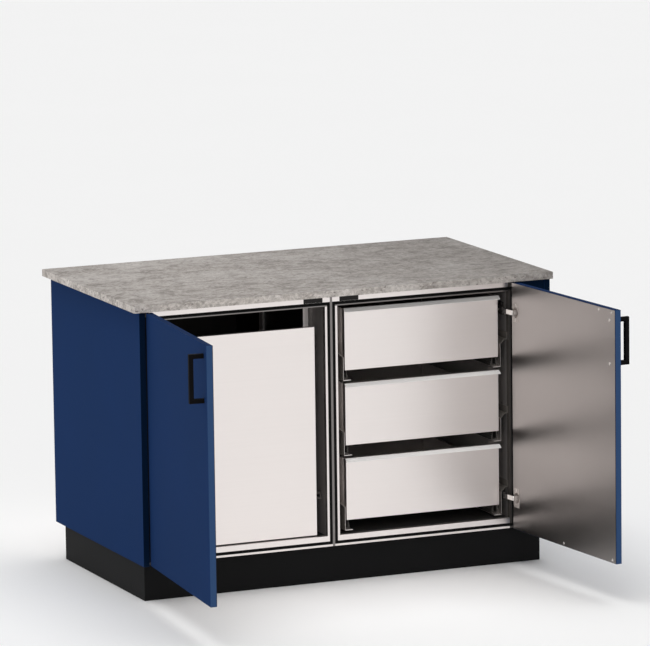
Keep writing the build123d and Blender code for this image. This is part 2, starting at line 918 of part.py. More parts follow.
def bin_prism(widening, z, height):
    """Upright prism with the bin's mouth outline, widened by a margin."""
    section = bin_section(bin_width + 2 * widening, bin_length + 2 * widening,
                          bin_corner_radius + widening, z)
    return extrude(section, amount=height, dir=(0, 0, 1))


def bin_cone(thinning, z):
    """Tapered solid of the bin's wall outline, from a height up to the mouth."""
    low = bin_section(bin_width - bin_taper - 2 * thinning, bin_length - bin_taper - 2 * thinning,
                      bin_corner_radius - bin_wall - thinning, z)
    high = bin_section(bin_width - 2 * thinning, bin_length - 2 * thinning,
                       bin_corner_radius - thinning, bin_height)
    return loft([low, high], ruled=True)


def waste_bin(index):
    """Tapered waste bin with a turned-over rim."""
    rim_z = bin_height - bin_rim_height
    rim = bin_prism(bin_rim_width, rim_z, bin_rim_height)
    skirt = bin_prism(bin_rim_width - bin_wall, rim_z - cut_over,
                      bin_rim_height + cut_over - bin_wall)
    mouth = bin_prism(-bin_wall, rim_z - cut_over, bin_rim_height + 2 * cut_over)
    shell = (bin_cone(0, 0) - bin_cone(bin_wall, bin_wall)) + (rim - skirt - mouth)
    x = left_bay_x + bay_width / 2
    y = front_y_face + bin_first + bin_length / 2 + index * bin_pitch
    return Pos(x, y, base_z + tall_front_bottom + 2 * sheet) * shell


os.makedirs("parts", exist_ok=True)

export("countertop", countertop())
export("side_panel_left", side_panel(left_x, left_bay_x))
export("side_panel_right", side_panel(right_x, right_x - panel_thickness))
export("filler_panel", filler_panel())
export("toe_kick_front", kick_front())
export("toe_kick_back", kick_back())
export("toe_kick_left", kick_side(left_bay_x))
export("toe_kick_right", kick_side(right_x - panel_thickness - kick_board))
export("toe_kick_brace", kick_side(-kick_board / 2))
export("levelling_feet", levelling_feet())
export("spacer_rails", spacer_rails())

for side, bay_x in (("left", left_bay_x), ("right", stile_x)):
    export(side + "_box_shell", box_shell(bay_x))
    export(side + "_box_liner", box_liner(bay_x))
    export(side + "_box_frame", box_frame(bay_x))
    export(side + "_gasket", gasket(bay_x))
    export(side + "_magnetic_catch", catch(bay_x))

door_pieces = {
    "door_slab": swung(door_panel()),
    "door_liner": swung(door_lining()),
    "door_pull": swung(door_pull()),
    "door_screws": [swung(screw) for screw in door_screws()],
    "hinge_cups": [swung(cup) for cup in hinge_cups()],
    "hinge_arms": hinge_arms(),
    "hinge_links": hinge_links(),
}
for name, pieces in door_pieces.items():
    export("left_" + name, pieces)
    right = [mirrored(piece) for piece in pieces] if isinstance(pieces, list) else mirrored(pieces)
    export("right_" + name, right)

export("runner_straps", straps())
export("bin_front", drawer_front(left_bay_x, base_z + tall_front_bottom, tall_front_height, False))
export("bin_cradle", bin_cradle())
export("bin_hoop", bin_hoop())
export("front_waste_bin", waste_bin(0))
export("rear_waste_bin", waste_bin(1))
for name, pieces in zip(("fixed", "middle", "moving"), bin_runners()):
    export("bin_runner_" + name, list(pieces))

export("drawer_brackets", drawer_brackets(stile_x))
for index, level in enumerate(drawer_levels):
    z0 = drawer_height(index)
    export(level + "_drawer_front", drawer_front(stile_x, z0, drawer_front_height, True))
    export(level + "_drawer_tray", drawer_tray(stile_x, z0))
    for name, pieces in zip(("fixed", "middle", "moving"), drawer_runners(stile_x, z0)):
        export(level + "_runner_" + name, list(pieces))
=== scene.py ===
"""Dress the outdoor kitchen cabinet for its picture.

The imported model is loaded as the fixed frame. Every board, sheet and fitting gets a procedural
finish, the fittings that need finer forms are built as numpy surfaces in the places of the frame's
own solids, and a pale floor, soft studio light and a long-lens camera show the cabinet with both
doors open. Finishes measure in metres, and shapes in millimetres.
"""

import logging
import math
from dataclasses import dataclass, replace
from enum import Enum
from functools import cache, reduce
from typing import Iterable, Sequence

import bmesh
import bpy
import numpy as np
from mathutils import Matrix, Vector

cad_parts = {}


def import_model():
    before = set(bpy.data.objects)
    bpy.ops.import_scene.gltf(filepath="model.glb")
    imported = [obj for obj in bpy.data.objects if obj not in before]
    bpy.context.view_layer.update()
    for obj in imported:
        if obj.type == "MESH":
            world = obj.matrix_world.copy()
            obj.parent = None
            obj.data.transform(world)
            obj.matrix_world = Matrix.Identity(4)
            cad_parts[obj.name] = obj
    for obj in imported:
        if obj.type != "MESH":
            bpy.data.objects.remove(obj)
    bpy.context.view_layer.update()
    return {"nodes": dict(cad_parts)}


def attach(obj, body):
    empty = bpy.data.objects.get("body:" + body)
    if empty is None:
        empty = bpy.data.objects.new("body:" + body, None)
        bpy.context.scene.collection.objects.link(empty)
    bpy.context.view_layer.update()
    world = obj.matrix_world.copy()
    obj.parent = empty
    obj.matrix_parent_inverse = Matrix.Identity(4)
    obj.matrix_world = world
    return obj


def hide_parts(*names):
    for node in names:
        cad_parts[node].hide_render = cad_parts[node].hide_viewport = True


LOG = logging.getLogger("cabinet")
MILLIMETRE = 0.001
FULL_TURN = 2.0 * math.pi
MERGE_GAP = 1e-6
LEAST_EDGE = 1e-7
SCREEN_STEPS = 255.0
# Left edge of the left bay, line between the bays and plane of the shut doors' faces.
LEFT_BAY_START = -656.5
STILE = -45.5
FRONT = -374.5
Colour = tuple[float, float, float]
Socket = bpy.types.NodeSocket
Zones = tuple[Socket, Socket | float]


class Grain(Enum):
    """Axis along which a sheet was brushed, by its number."""

    ALONG_X = 0
    ALONG_Y = 1
    ALONG_Z = 2

    def stretch(self, across: float, along: float) -> Sequence[float]:
        """Repeats per metre on X, Y and Z, from those across and along the brush lines."""
        return tuple(along if axis == self.value else across for axis in range(3))


class Side(Enum):
    """Bay or door, named as the frame names its pieces."""

    LEFT = "left"
    RIGHT = "right"


class Level(Enum):
    """Drawer in the right bay, from the lowest up."""

    LOWER = "lower"
    CENTRE = "centre"
    UPPER = "upper"


def linear(red: int, green: int, blue: int) -> Colour:
    """Turn a screen colour of 0 to 255 into linear light, by the usual sRGB curve."""
    channels = np.array((red, green, blue)) / SCREEN_STEPS
    low = channels / 12.92
    high = ((channels + 0.055) / 1.055) ** 2.4
    return tuple(float(v) for v in np.where(channels <= 0.04045, low, high))


def shaded(colour: Colour, share: float) -> Colour:
    """Scale a colour by a share."""
    return tuple(v * share for v in colour)


STEEL = linear(243, 236, 233)


# Material graphs


class Graph:
    """Node graph of a material or world, with short calls to add and join its nodes."""

    def __init__(self, owner: bpy.types.Material | bpy.types.World, output: str) -> None:
        """Empty the owner's graph and put an output in it.

        Args:
            owner: material or world.
            output: type of the output node, without its ShaderNode prefix.
        """
        owner.use_nodes = True
        self.tree = owner.node_tree
        self.tree.nodes.clear()
        self.output = self.add(output)

    def add(self, kind: str, **inputs: object) -> bpy.types.Node:
        """Add a node and set its sockets.

        Args:
            kind: node type without its ShaderNode prefix.
            inputs: socket name with underscores for spaces, and either a value or a socket.

        Returns:
            The new node.
        """
        node = self.tree.nodes.new("ShaderNode" + kind)
        for key, value in inputs.items():
            self.feed(node.inputs[key.replace("_", " ")], value)
        return node

    def feed(self, target: Socket, value: object) -> None:
        """Set a socket to a value, or join another node's socket to it."""
        if isinstance(value, Socket):
            self.tree.links.new(value, target)
        elif isinstance(value, tuple) and target.type == "RGBA":
            target.default_value = (*value, 1.0)
        else:
            target.default_value = value

    def component(self, output: str, letter: str) -> Socket:
        """One component of an output of the texture coordinates."""
        split = self.add("SeparateXYZ", Vector=self.add("TexCoord").outputs[output])
        return split.outputs[letter]

    def axis(self, letter: str) -> Socket:
        """One Object coordinate in metres."""
        return self.component("Object", letter)

    def facing(self, letter: str) -> Socket:
        """One component of the surface's own normal."""
        return self.component("Normal", letter)

    def noise(self, repeats: float | Sequence[float], detail: float = 4.0,
              roughness: float = 0.55, distortion: float = 0.0) -> Socket:
        """Noise of 0 to 1, with repeats per metre alike all round or one for each axis."""
        even = isinstance(repeats, float)
        place = self.add("Mapping", Vector=self.add("TexCoord").outputs["Object"],
                         Scale=(1.0, 1.0, 1.0) if even else tuple(repeats))
        node = self.add("TexNoise", Vector=place.outputs["Vector"],
                        Scale=repeats if even else 1.0, Detail=detail, Roughness=roughness,
                        Distortion=distortion)
        return node.outputs["Fac"]

    def ramp(self, value: Socket, *stops: tuple[float, float]) -> Socket:
        """Map a value through a straight stretch between two stops of (place, value)."""
        node = self.add("ValToRGB", Fac=value)
        for element, (position, level) in zip(node.color_ramp.elements, stops):
            element.position = position
            element.color = (level, level, level, 1.0)
        return node.outputs["Color"]

    def span(self, value: Socket, low: float, high: float, start: float = 0.0,
             end: float = 1.0) -> Socket:
        """Carry a value from the span start to end over to the span low to high."""
        node = self.add("MapRange", Value=value, From_Min=start, From_Max=end, To_Min=low,
                        To_Max=high)
        return node.outputs["Result"]

    def mix(self, share: Socket | float, first: object, second: object,
            blend: str = "MIX") -> Socket:
        """Mix two colours by a share."""
        node = self.add("Mix")
        node.data_type = "RGBA"
        node.blend_type = blend
        targets = [s for s in node.inputs if s.enabled]
        for target, value in zip(targets, (share, first, second)):
            self.feed(target, value)
        return next(s for s in node.outputs if s.enabled)

    def times(self, colour: Socket, share: Socket) -> Socket:
        """Scale a colour by a number that varies over the surface."""
        return self.mix(1.0, colour, share, "MULTIPLY")

    def math(self, operation: str, first: object, second: object = 0.0) -> Socket:
        """Join two numbers with an operation."""
        node = self.add("Math")
        node.operation = operation
        for target, value in zip(node.inputs, (first, second)):
            self.feed(target, value)
        return node.outputs["Value"]

    def less(self, value: Socket, level: float) -> Socket:
        """Return 1 where a value is below a level, and 0 elsewhere."""
        return self.math("LESS_THAN", value, level)

    def more(self, value: Socket, level: float) -> Socket:
        """Return 1 where a value is above a level, and 0 elsewhere."""
        return self.math("GREATER_THAN", value, level)

    def either(self, *zones: Socket) -> Socket:
        """Return 1 where any of the zones is 1, and 0 elsewhere."""
        return reduce(lambda first, second: self.math("MAXIMUM", first, second), zones)

    def bump(self, height: Socket, depth: float) -> Socket:
        """Surface normal bent by a height of 0 to 1 times a depth in metres."""
        return self.add("Bump", Height=height, Strength=1.0, Distance=depth).outputs["Normal"]

    def principled(self, colour: Socket, rough: Socket, normal: Socket,
                   metallic: Socket | float = 0.0, specular: float = 0.5) -> bpy.types.Node:
        """Shader for metal, stone and plastic."""
        return self.add("BsdfPrincipled", Base_Color=colour, Roughness=rough, Normal=normal,
                        Metallic=metallic, Specular_IOR_Level=specular)

    def close(self, shader: bpy.types.Node) -> None:
        """Join the shader to the output."""
        self.tree.links.new(shader.outputs[0], self.output.inputs["Surface"])


# Finishes


@dataclass(frozen=True)
class Finish:
    """A finish of one name, whose kinds say what shader they have."""

    name: str

    def build(self) -> bpy.types.Material:
        """Make the material."""
        made = bpy.data.materials.new(self.name)
        graph = Graph(made, "OutputMaterial")
        graph.close(self.shader(graph))
        return made

    def shader(self, graph: Graph) -> bpy.types.Node:
        """Shader of the whole surface."""
        raise NotImplementedError


@dataclass(frozen=True)
class BrushedSteel(Finish):
    """Stainless sheet with fine brush lines, a cloudy polish and soft smears."""

    grain: Grain
    colour: Colour = STEEL
    roughness: float = 0.3
    metallic: float = 1.0

    def shader(self, graph: Graph) -> bpy.types.Node:
        """Metal over the sheet's colour and that of its zones."""
        line_share = 0.65
        lines = graph.noise(self.grain.stretch(across=330.0, along=0.9), detail=3.0,
                            roughness=0.65)
        clouds = graph.noise(6.0, detail=3.0, roughness=0.5, distortion=0.4)
        marks = graph.math("ADD", graph.math("MULTIPLY", lines, line_share),
                           graph.math("MULTIPLY", clouds, 1.0 - line_share))
        sheet = graph.mix(marks, shaded(self.colour, 0.96), shaded(self.colour, 1.01))
        colour, metallic = self.zoned(graph, sheet)
        hairs = graph.noise(self.grain.stretch(across=480.0, along=1.2), detail=2.0, roughness=0.5)
        smears = graph.noise(5.0, detail=0.0)
        rough = graph.span(smears, self.roughness - 0.03, self.roughness + 0.03)
        return graph.principled(colour, rough, graph.bump(hairs, depth=0.0000015), metallic,
                                specular=0.2)

    def zoned(self, graph: Graph, sheet: Socket) -> Zones:
        """Colour and share of metal over the piece: the sheet's own, if no zone differs."""
        return sheet, self.metallic


@dataclass(frozen=True)
class FrameSteel(BrushedSteel):
    """Brushed steel of a folded box frame, with a painted shade on its narrow rims and flanges.

    The rims beside the stile and the flange below the rain channel at the top carry a painted
    shade, the borders towards the end panels carry a painted shade nearly as dark as the gap
    beside them, and the rest is as bright as the fronts.
    """

    bay_start: float = 0.0
    bay_end: float = 0.0
    border_shade_start: float = 0.0
    border_shade_end: float = 0.0
    # Painted shade on the borders towards the end panels, as dark as the gap beside them.
    dark: Colour = linear(72, 68, 65)
    rim_shade_share: float = 0.27
    rim: float = 0.0039
    shaded_flange_foot: float = 0.8546
    shaded_flange_head: float = 0.8590

    def zoned(self, graph: Graph, sheet: Socket) -> Zones:
        """Paint shade on the rims and the top flange, and a darker painted shade on the border
        towards the end panel.
        """
        x, z = graph.axis("X"), graph.axis("Z")
        # Painted shade on the top flange under the slab's overhang and on the rims at the bay's
        # ends.
        flange = graph.math("MULTIPLY", graph.more(z, self.shaded_flange_foot),
                            graph.less(z, self.shaded_flange_head))
        painted_shade_zone = graph.either(graph.less(x, self.bay_start + self.rim),
                              graph.more(x, self.bay_end - self.rim), flange)
        painted_shade_border = graph.either(graph.less(x, self.bay_start + self.border_shade_start),
                              graph.more(x, self.bay_end - self.border_shade_end))
        colour = graph.mix(painted_shade_zone, sheet, shaded(self.colour, self.rim_shade_share))
        return graph.mix(painted_shade_border, colour, self.dark), graph.span(painted_shade_border, 1.0, 0.0)


@dataclass(frozen=True)
class LinerSteel(BrushedSteel):
    """Brushed steel inside a box, with painted light and shade.

    The side walls' painted light and shade change with depth, and the floor and back carry a
    painted shade.
    """

    # Shares of the colour: painted shade on the floor and back, and painted light and shade on the
    # deep side walls.
    flat_light_share: float = 0.08
    deep_light_share: float = 0.08
    front: float = -0.3
    back: float = -0.22

    def zoned(self, graph: Graph, sheet: Socket) -> Zones:
        """Paint the side walls' light and shade from front to back, and paint shade on the other
        walls.
        """
        depth = graph.span(graph.axis("Y"), 0.0, 1.0, self.front, self.back)
        flat = graph.less(graph.math("ABSOLUTE", graph.facing("X")), 0.5)
        colour = graph.mix(depth, sheet, shaded(self.colour, self.deep_light_share))
        return graph.mix(flat, colour, shaded(self.colour, self.flat_light_share)), self.metallic


@dataclass(frozen=True)
class DoorSteel(BrushedSteel):
    """Brushed door lining, darker towards its foot as a painted reflection of shade, and nearly
    black on its cut edges.
    """

    edge: float = 0.06
    foot: float = 0.7
    foot_shade_from: float = 0.42
    foot_shade_to: float = 0.15

    def zoned(self, graph: Graph, sheet: Socket) -> Zones:
        """Paint the reflected shade towards the foot, and blacken the top and end edges."""
        # Painted reflection of the shade below: the lining grows darker towards its foot.
        rise = graph.span(graph.axis("Z"), 1.0, self.foot, self.foot_shade_from, self.foot_shade_to)
        edges = graph.either(graph.more(graph.facing("Z"), 0.7),
                             graph.less(graph.facing("Y"), -0.7))
        colour = graph.mix(edges, graph.times(sheet, rise), shaded(self.colour, self.edge))
        return colour, self.metallic


@dataclass(frozen=True)
class LippedSteel(BrushedSteel):
    """Brushed drawer front whose sloping finger lip carries a painted highlight of pale, non-metal
    white.
    """

    lip_highlight: Colour = linear(250, 248, 246)
    lip_highlight_from: float = -0.3382

    def zoned(self, graph: Graph, sheet: Socket) -> Zones:
        """Paint the lip's highlight."""
        # Painted highlight: the lip is pale white instead of steel.
        zone = graph.less(graph.axis("Y"), self.lip_highlight_from)
        return graph.mix(zone, sheet, self.lip_highlight), graph.span(zone, 1.0, 0.0)


@dataclass(frozen=True)
class BracketSteel(BrushedSteel):
    """Brushed bracket, bright on its upright plate and foot, with a painted shade on its wall
    flange.
    """

    # Painted shade on the wall flange, which is seen in the gaps.
    dark: Colour = linear(116, 111, 106)
    middle: float = 0.26
    reach: float = 0.2620

    def zoned(self, graph: Graph, sheet: Socket) -> Zones:
        """Paint shade on what lies along the wall."""
        away = graph.math("ABSOLUTE", graph.math("SUBTRACT", graph.axis("X"), self.middle))
        zone = graph.more(away, self.reach)
        return graph.mix(zone, sheet, self.dark), graph.span(zone, 1.0, 0.2)


@dataclass(frozen=True)
class PlatedSteel(Finish):
    """Zinc-plated pressing: mottled satin metal, with a painted shade behind a certain depth."""

    colour: Colour
    roughness: float
    metallic: float = 1.0
    inside_shade_from: float = 0.0
    inside_shade: float = 1.0

    def shader(self, graph: Graph) -> bpy.types.Node:
        """Mottled metal."""
        mottle = graph.noise(60.0, detail=4.0, roughness=0.6, distortion=0.6)
        specks = graph.noise(900.0, detail=2.0)
        colour = graph.mix(graph.ramp(mottle, (0.35, 0.0), (0.65, 1.0)),
                           shaded(self.colour, 0.82), self.colour)
        # Painted shade where the piece lies deeper in the box than the set depth.
        inside = graph.more(graph.axis("Y"), self.inside_shade_from)
        colour = graph.mix(inside, colour, shaded(self.colour, self.inside_shade))
        rough = graph.span(mottle, self.roughness - 0.07, self.roughness + 0.08)
        return graph.principled(colour, rough, graph.bump(specks, depth=0.00002), self.metallic)


@dataclass(frozen=True)
class PolymerBoard(Finish):
    """Through-coloured marine board with a fine stippled face and soft clouds, and painted light
    and shade on what faces the front and upwards.
    """

    colour: Colour
    pale: Colour
    edge: Colour
    roughness: float = 0.8
    specular: float = 0.03
    top: float = 1.0

    def shader(self, graph: Graph) -> bpy.types.Node:
        """Stippled plastic, with painted light and shade on what faces the front and upwards."""
        stipple = graph.noise(950.0, detail=2.0, roughness=0.5)
        clouds = graph.noise(3.0, detail=3.0, roughness=0.5)
        scuffs = graph.noise((40.0, 40.0, 9.0), detail=5.0, roughness=0.7, distortion=1.2)
        shade = graph.mix(graph.ramp(clouds, (0.3, 0.0), (0.7, 1.0)), self.colour, self.pale)
        shade = graph.mix(graph.ramp(stipple, (0.35, 0.1), (0.6, 0.0)), shade,
                          shaded(self.colour, 0.6))
        # Painted shade on the end panels' front edges, and painted light on the doors' front
        # edges.
        shade = graph.mix(graph.less(graph.facing("Y"), -0.8), shade, self.edge)
        # Painted shade on the doors' tops.
        shade = graph.mix(graph.more(graph.facing("Z"), 0.8), shade,
                          shaded(self.colour, self.top))
        rough = graph.span(clouds, self.roughness - 0.05, self.roughness + 0.05)
        rough = graph.math("ADD", rough, graph.ramp(scuffs, (0.62, 0.0), (0.8, 0.1)))
        return graph.principled(shade, rough, graph.bump(stipple, depth=0.00005),
                                specular=self.specular)


@dataclass(frozen=True)
class HonedStone(Finish):
    """Honed grey slab: short streaks, pale clouds, small dark pits, a painted shade towards one
    end and painted light on its upright faces.
    """

    dark: Colour = linear(127, 121, 116)
    body: Colour = linear(170, 164, 159)
    pale: Colour = linear(199, 194, 190)
    pit: Colour = linear(84, 76, 72)
    far_end_shade: float = 0.62
    upright_light: float = 1.85
    shade_fade_start: float = -0.3
    shade_fade_end: float = 0.7

    def shader(self, graph: Graph) -> bpy.types.Node:
        """Stone colours laid over each other, from the coarse to the fine, and its pits, under a
        painted shade towards one end and painted light on the upright faces.
        """
        streaks = graph.noise((16.0, 24.0, 24.0), detail=7.0, roughness=0.72, distortion=0.6)
        clouds = graph.noise(5.0, detail=5.0, roughness=0.6, distortion=0.3)
        fine = graph.noise((70.0, 95.0, 95.0), detail=5.0, roughness=0.75)
        grit = graph.noise(420.0, detail=3.0, roughness=0.7)
        pits = graph.noise((75.0, 120.0, 120.0), detail=3.0, roughness=0.5)
        colour = graph.mix(graph.ramp(streaks, (0.38, 0.0), (0.56, 1.0)), self.dark, self.body)
        for pattern, first, last, tint in (
                (clouds, (0.46, 0.0), (0.7, 0.6), self.pale),
                (fine, (0.34, 0.6), (0.5, 0.0), self.dark),
                (fine, (0.5, 0.0), (0.66, 0.6), self.pale),
                (pits, (0.61, 0.0), (0.7, 0.7), self.pit),
                (grit, (0.3, 0.3), (0.5, 0.0), self.pit)):
            colour = graph.mix(graph.ramp(pattern, first, last), colour, tint)
        # Painted shade towards the right end, and painted light on the upright faces.
        end_shade = graph.span(graph.axis("X"), 1.0, self.far_end_shade, self.shade_fade_start, self.shade_fade_end)
        upright = graph.less(graph.math("ABSOLUTE", graph.facing("Z")), 0.5)
        colour = graph.times(graph.times(colour, end_shade), graph.span(upright, 1.0, self.upright_light))
        height = graph.math("SUBTRACT", graph.math("MULTIPLY", grit, 0.4),
                            graph.ramp(pits, (0.64, 0.0), (0.73, 0.8)))
        return graph.principled(colour, graph.span(fine, 0.62, 0.8),
                                graph.bump(height, depth=0.00012), specular=0.2)


@dataclass(frozen=True)
class MouldedPlastic(Finish):
    """Moulded plastic, rubber or powder coat with a fine spark-eroded grain."""

    colour: Colour
    roughness: float = 0.55
    grain: float = 1400.0
    specular: float = 0.3

    def shader(self, graph: Graph) -> bpy.types.Node:
        """Fine-grained plastic with faint flow marks."""
        pores = graph.noise(self.grain, detail=2.0, roughness=0.6)
        flow = graph.noise(14.0, detail=3.0, roughness=0.5, distortion=0.8)
        light = tuple(v * 1.3 + 0.001 for v in self.colour)
        colour = graph.mix(graph.ramp(flow, (0.35, 0.0), (0.7, 1.0)), self.colour, light)
        rough = graph.span(flow, self.roughness - 0.06, self.roughness + 0.08)
        return graph.principled(colour, rough, graph.bump(pores, depth=0.00004),
                                specular=self.specular)


@dataclass(frozen=True)
class PaleFloor(Finish):
    """Pale seamless studio floor that keeps the cabinet's shadow."""

    colour: Colour = linear(247, 247, 247)

    def shader(self, graph: Graph) -> bpy.types.Node:
        """Matt and very faintly mottled."""
        mottle = graph.noise(1.2, detail=2.0)
        colour = graph.mix(mottle, shaded(self.colour, 0.99), self.colour)
        return graph.add("BsdfDiffuse", Color=colour)


FINISHES: Sequence[Finish] = (
    PaleFloor("pale_floor"),
    HonedStone("honed_stone"),
    # The edge colours and the door's top share are painted light and shade.
    PolymerBoard("blue_board", linear(31, 57, 101), linear(33, 59, 105), linear(8, 27, 50)),
    PolymerBoard("blue_door", linear(30, 56, 100), linear(32, 58, 104), linear(55, 81, 121),
                 top=0.5),
    PolymerBoard("black_board", linear(8, 8, 9), linear(12, 12, 13), linear(9, 9, 10),
                 roughness=0.7, specular=0.15),
    BrushedSteel("front_steel", Grain.ALONG_X),
    LippedSteel("lipped_steel", Grain.ALONG_X),
    # Painted shade on each frame's rims, top flange and border by the end panel.
    FrameSteel("left_frame_steel", Grain.ALONG_X, bay_start=-0.6565, bay_end=-0.0455,
               border_shade_start=0.0201),
    FrameSteel("right_frame_steel", Grain.ALONG_X, bay_start=-0.0455, bay_end=0.5655,
               border_shade_end=0.0215),
    BrushedSteel("shell_steel", Grain.ALONG_Z),
    # Painted shade deep in the left box; the right box's steel is a shaded copy, with painted
    # light on its deep side walls.
    LinerSteel("left_liner_steel", Grain.ALONG_Z, shaded(STEEL, 0.8), 0.42, metallic=0.9),
    LinerSteel("right_liner_steel", Grain.ALONG_Z, shaded(STEEL, 0.33), 0.42, metallic=0.5,
               flat_light_share=0.25, deep_light_share=2.5),
    BrushedSteel("cheek_steel", Grain.ALONG_Z, linear(243, 232, 226), 0.5, metallic=0.0),
    BrushedSteel("strap_steel", Grain.ALONG_Z, shaded(STEEL, 0.9), 0.4, metallic=0.5),
    # Steel scaled to 0.68: a painted shade on the trays, cradle and hoop.
    BrushedSteel("tray_steel", Grain.ALONG_Y, shaded(STEEL, 0.68)),
    # Steel scaled to 0.46 as a painted shade for the door lining's dim reflection.
    DoorSteel("door_steel", Grain.ALONG_Z, shaded(STEEL, 0.46)),
    # The bracket's wall flange carries a painted shade.
    BracketSteel("bracket_steel", Grain.ALONG_Y, shaded(STEEL, 0.85)),
    PlatedSteel("runner_steel", linear(76, 73, 70), 0.45, metallic=0.4),
    # Plated steel darkened as a painted shade for the hinge arms inside the box.
    PlatedSteel("shaded_arm_steel", linear(90, 87, 84), 0.4),
    PlatedSteel("cup_steel", linear(204, 195, 190), 0.5, metallic=0.3),
    # The hinge links carry a painted shade inside the box.
    PlatedSteel("hinge_steel", linear(240, 236, 232), 0.3, inside_shade_from=-0.3705, inside_shade=0.06),
    PlatedSteel("screw_steel", linear(222, 219, 214), 0.25),
    MouldedPlastic("gasket_rubber", linear(8, 8, 8), 0.7, grain=900.0, specular=0.15),
    MouldedPlastic("black_plastic", linear(30, 28, 27), 0.6),
    MouldedPlastic("black_powder_coat", linear(13, 12, 13), 0.7, grain=1600.0, specular=0.05),
    MouldedPlastic("bin_plastic", linear(38, 39, 41), 0.5, grain=1100.0),
)


@cache
def material(name: str) -> bpy.types.Material:
    """Make the finish of that name when it is first asked for, and keep it."""
    return next(finish for finish in FINISHES if finish.name == name).build()


# Surfaces


@dataclass(frozen=True)
class Patch:
    """A grid of points, rows by columns by 3, in millimetres, and whether its ends meet."""

    points: np.ndarray
    close_rows: bool = False
    close_columns: bool = True

    def faces(self) -> np.ndarray:
        """Corner numbers of the quads: each cell of the grid gives one."""
        rows, columns = self.points.shape[:2]
        row = np.arange(rows if self.close_rows else rows - 1)
        column = np.arange(columns if self.close_columns else columns - 1)
        i, j = np.meshgrid(row, column, indexing="ij")
        below, beside = (i + 1) % rows, (j + 1) % columns
        quads = [i * columns + j, below * columns + j, below * columns + beside,
                 i * columns + beside]
        return np.stack(quads, axis=-1).reshape(-1, 4)

    def moved(self, x: float, y: float, z: float) -> "Patch":
        """Shift the patch by a distance along each axis."""
        return replace(self, points=self.points + (x, y, z))

    def turned(self, axes: Sequence[Sequence[float]]) -> "Patch":
        """Turn the patch: the rows of axes are where its X, Y and Z go."""
        return replace(self, points=self.points @ np.array(axes))


# Turns that lay a patch standing on Z: facing the front, into the cabinet and away from a wall.
TO_FRONT = ((1.0, 0.0, 0.0), (0.0, 0.0, 1.0), (0.0, -1.0, 0.0))
INWARD = ((1.0, 0.0, 0.0), (0.0, 0.0, -1.0), (0.0, 1.0, 0.0))
SIDEWAYS = ((0.0, 0.0, -1.0), (0.0, 1.0, 0.0), (1.0, 0.0, 0.0))


def placed(name: str, data: bpy.types.ID) -> bpy.types.Object:
    """Make an object of a mesh, lamp or camera and put it in the scene."""
    made = bpy.data.objects.new(name, data)
    bpy.context.scene.collection.objects.link(made)
    return made


def made_object(name: str, patches: Sequence[Patch], smooth: float) -> bpy.types.Object:
    """Join patches in the cabinet's frame into one mesh object.

    Args:
        name: name of the object.
        patches: its surfaces.
        smooth: angle in degrees below which its faces are shaded as one.

    Returns:
        The object, its seams and poles closed and its faces pointing outwards.
    """
    starts = np.cumsum([0] + [patch.points.size // 3 for patch in patches])
    points = np.concatenate([patch.points.reshape(-1, 3) for patch in patches]) * MILLIMETRE
    faces = np.concatenate([patch.faces() + start for patch, start in zip(patches, starts)])
    mesh = bpy.data.meshes.new(name)
    mesh.from_pydata(points.tolist(), [], faces.tolist())
    shell = bmesh.new()
    shell.from_mesh(mesh)
    bmesh.ops.remove_doubles(shell, verts=shell.verts, dist=MERGE_GAP)
    bmesh.ops.dissolve_degenerate(shell, edges=shell.edges, dist=LEAST_EDGE)
    bmesh.ops.recalc_face_normals(shell, faces=shell.faces)
    shell.to_mesh(mesh)
    shell.free()
    mesh.shade_smooth()
    mesh.set_sharp_from_angle(angle=math.radians(smooth))
    return placed(name, mesh)


def around(sides: int) -> np.ndarray:
    """Even angles round an axis, as a row."""
    return (np.arange(sides) * FULL_TURN / sides)[None, :]


def spun(radius: np.ndarray, height: np.ndarray, angle: np.ndarray) -> np.ndarray:
    """Points (r cos a, r sin a, h) round the Z axis."""
    x, y = radius * np.cos(angle), radius * np.sin(angle)
    return np.stack([x, y, height + 0.0 * x], axis=-1)


def arc(centre: Sequence[float], radius: float, start: float, end: float, count: int
        ) -> np.ndarray:
    """Points of a profile on an arc, from one angle in degrees to another."""
    angle = np.radians(np.linspace(start, end, count))
    return np.stack([centre[0] + radius * np.cos(angle), centre[1] + radius * np.sin(angle)], -1)


def threaded(radius: float, depth: float, pitch: float, low: float, high: float,
             sides: int = 24, steps: int = 8) -> Patch:
    """Screw thread on a stem standing on the Z axis.

    The radius at height z and angle a is the stem's radius less a ridge of the given depth, whose
    height over one turn is a rounded wave of (z / pitch - a / full turn).

    Args:
        radius: outer radius.
        depth: how deep the thread is cut.
        pitch: rise of one turn.
        low: lower end.
        high: upper end.
        sides: points round the axis.
        steps: rows per turn.

    Returns:
        The threaded patch, closed at both ends.
    """
    z = np.linspace(low, high, int((high - low) / pitch * steps) + 1)[:, None]
    angle = around(sides)
    wave = 0.5 - 0.5 * np.cos(FULL_TURN * z / pitch - angle)
    cap = np.zeros((1, sides, 3))
    return Patch(np.concatenate([cap + (0.0, 0.0, low), spun(radius - depth * wave, z, angle),
                                 cap + (0.0, 0.0, high)]))


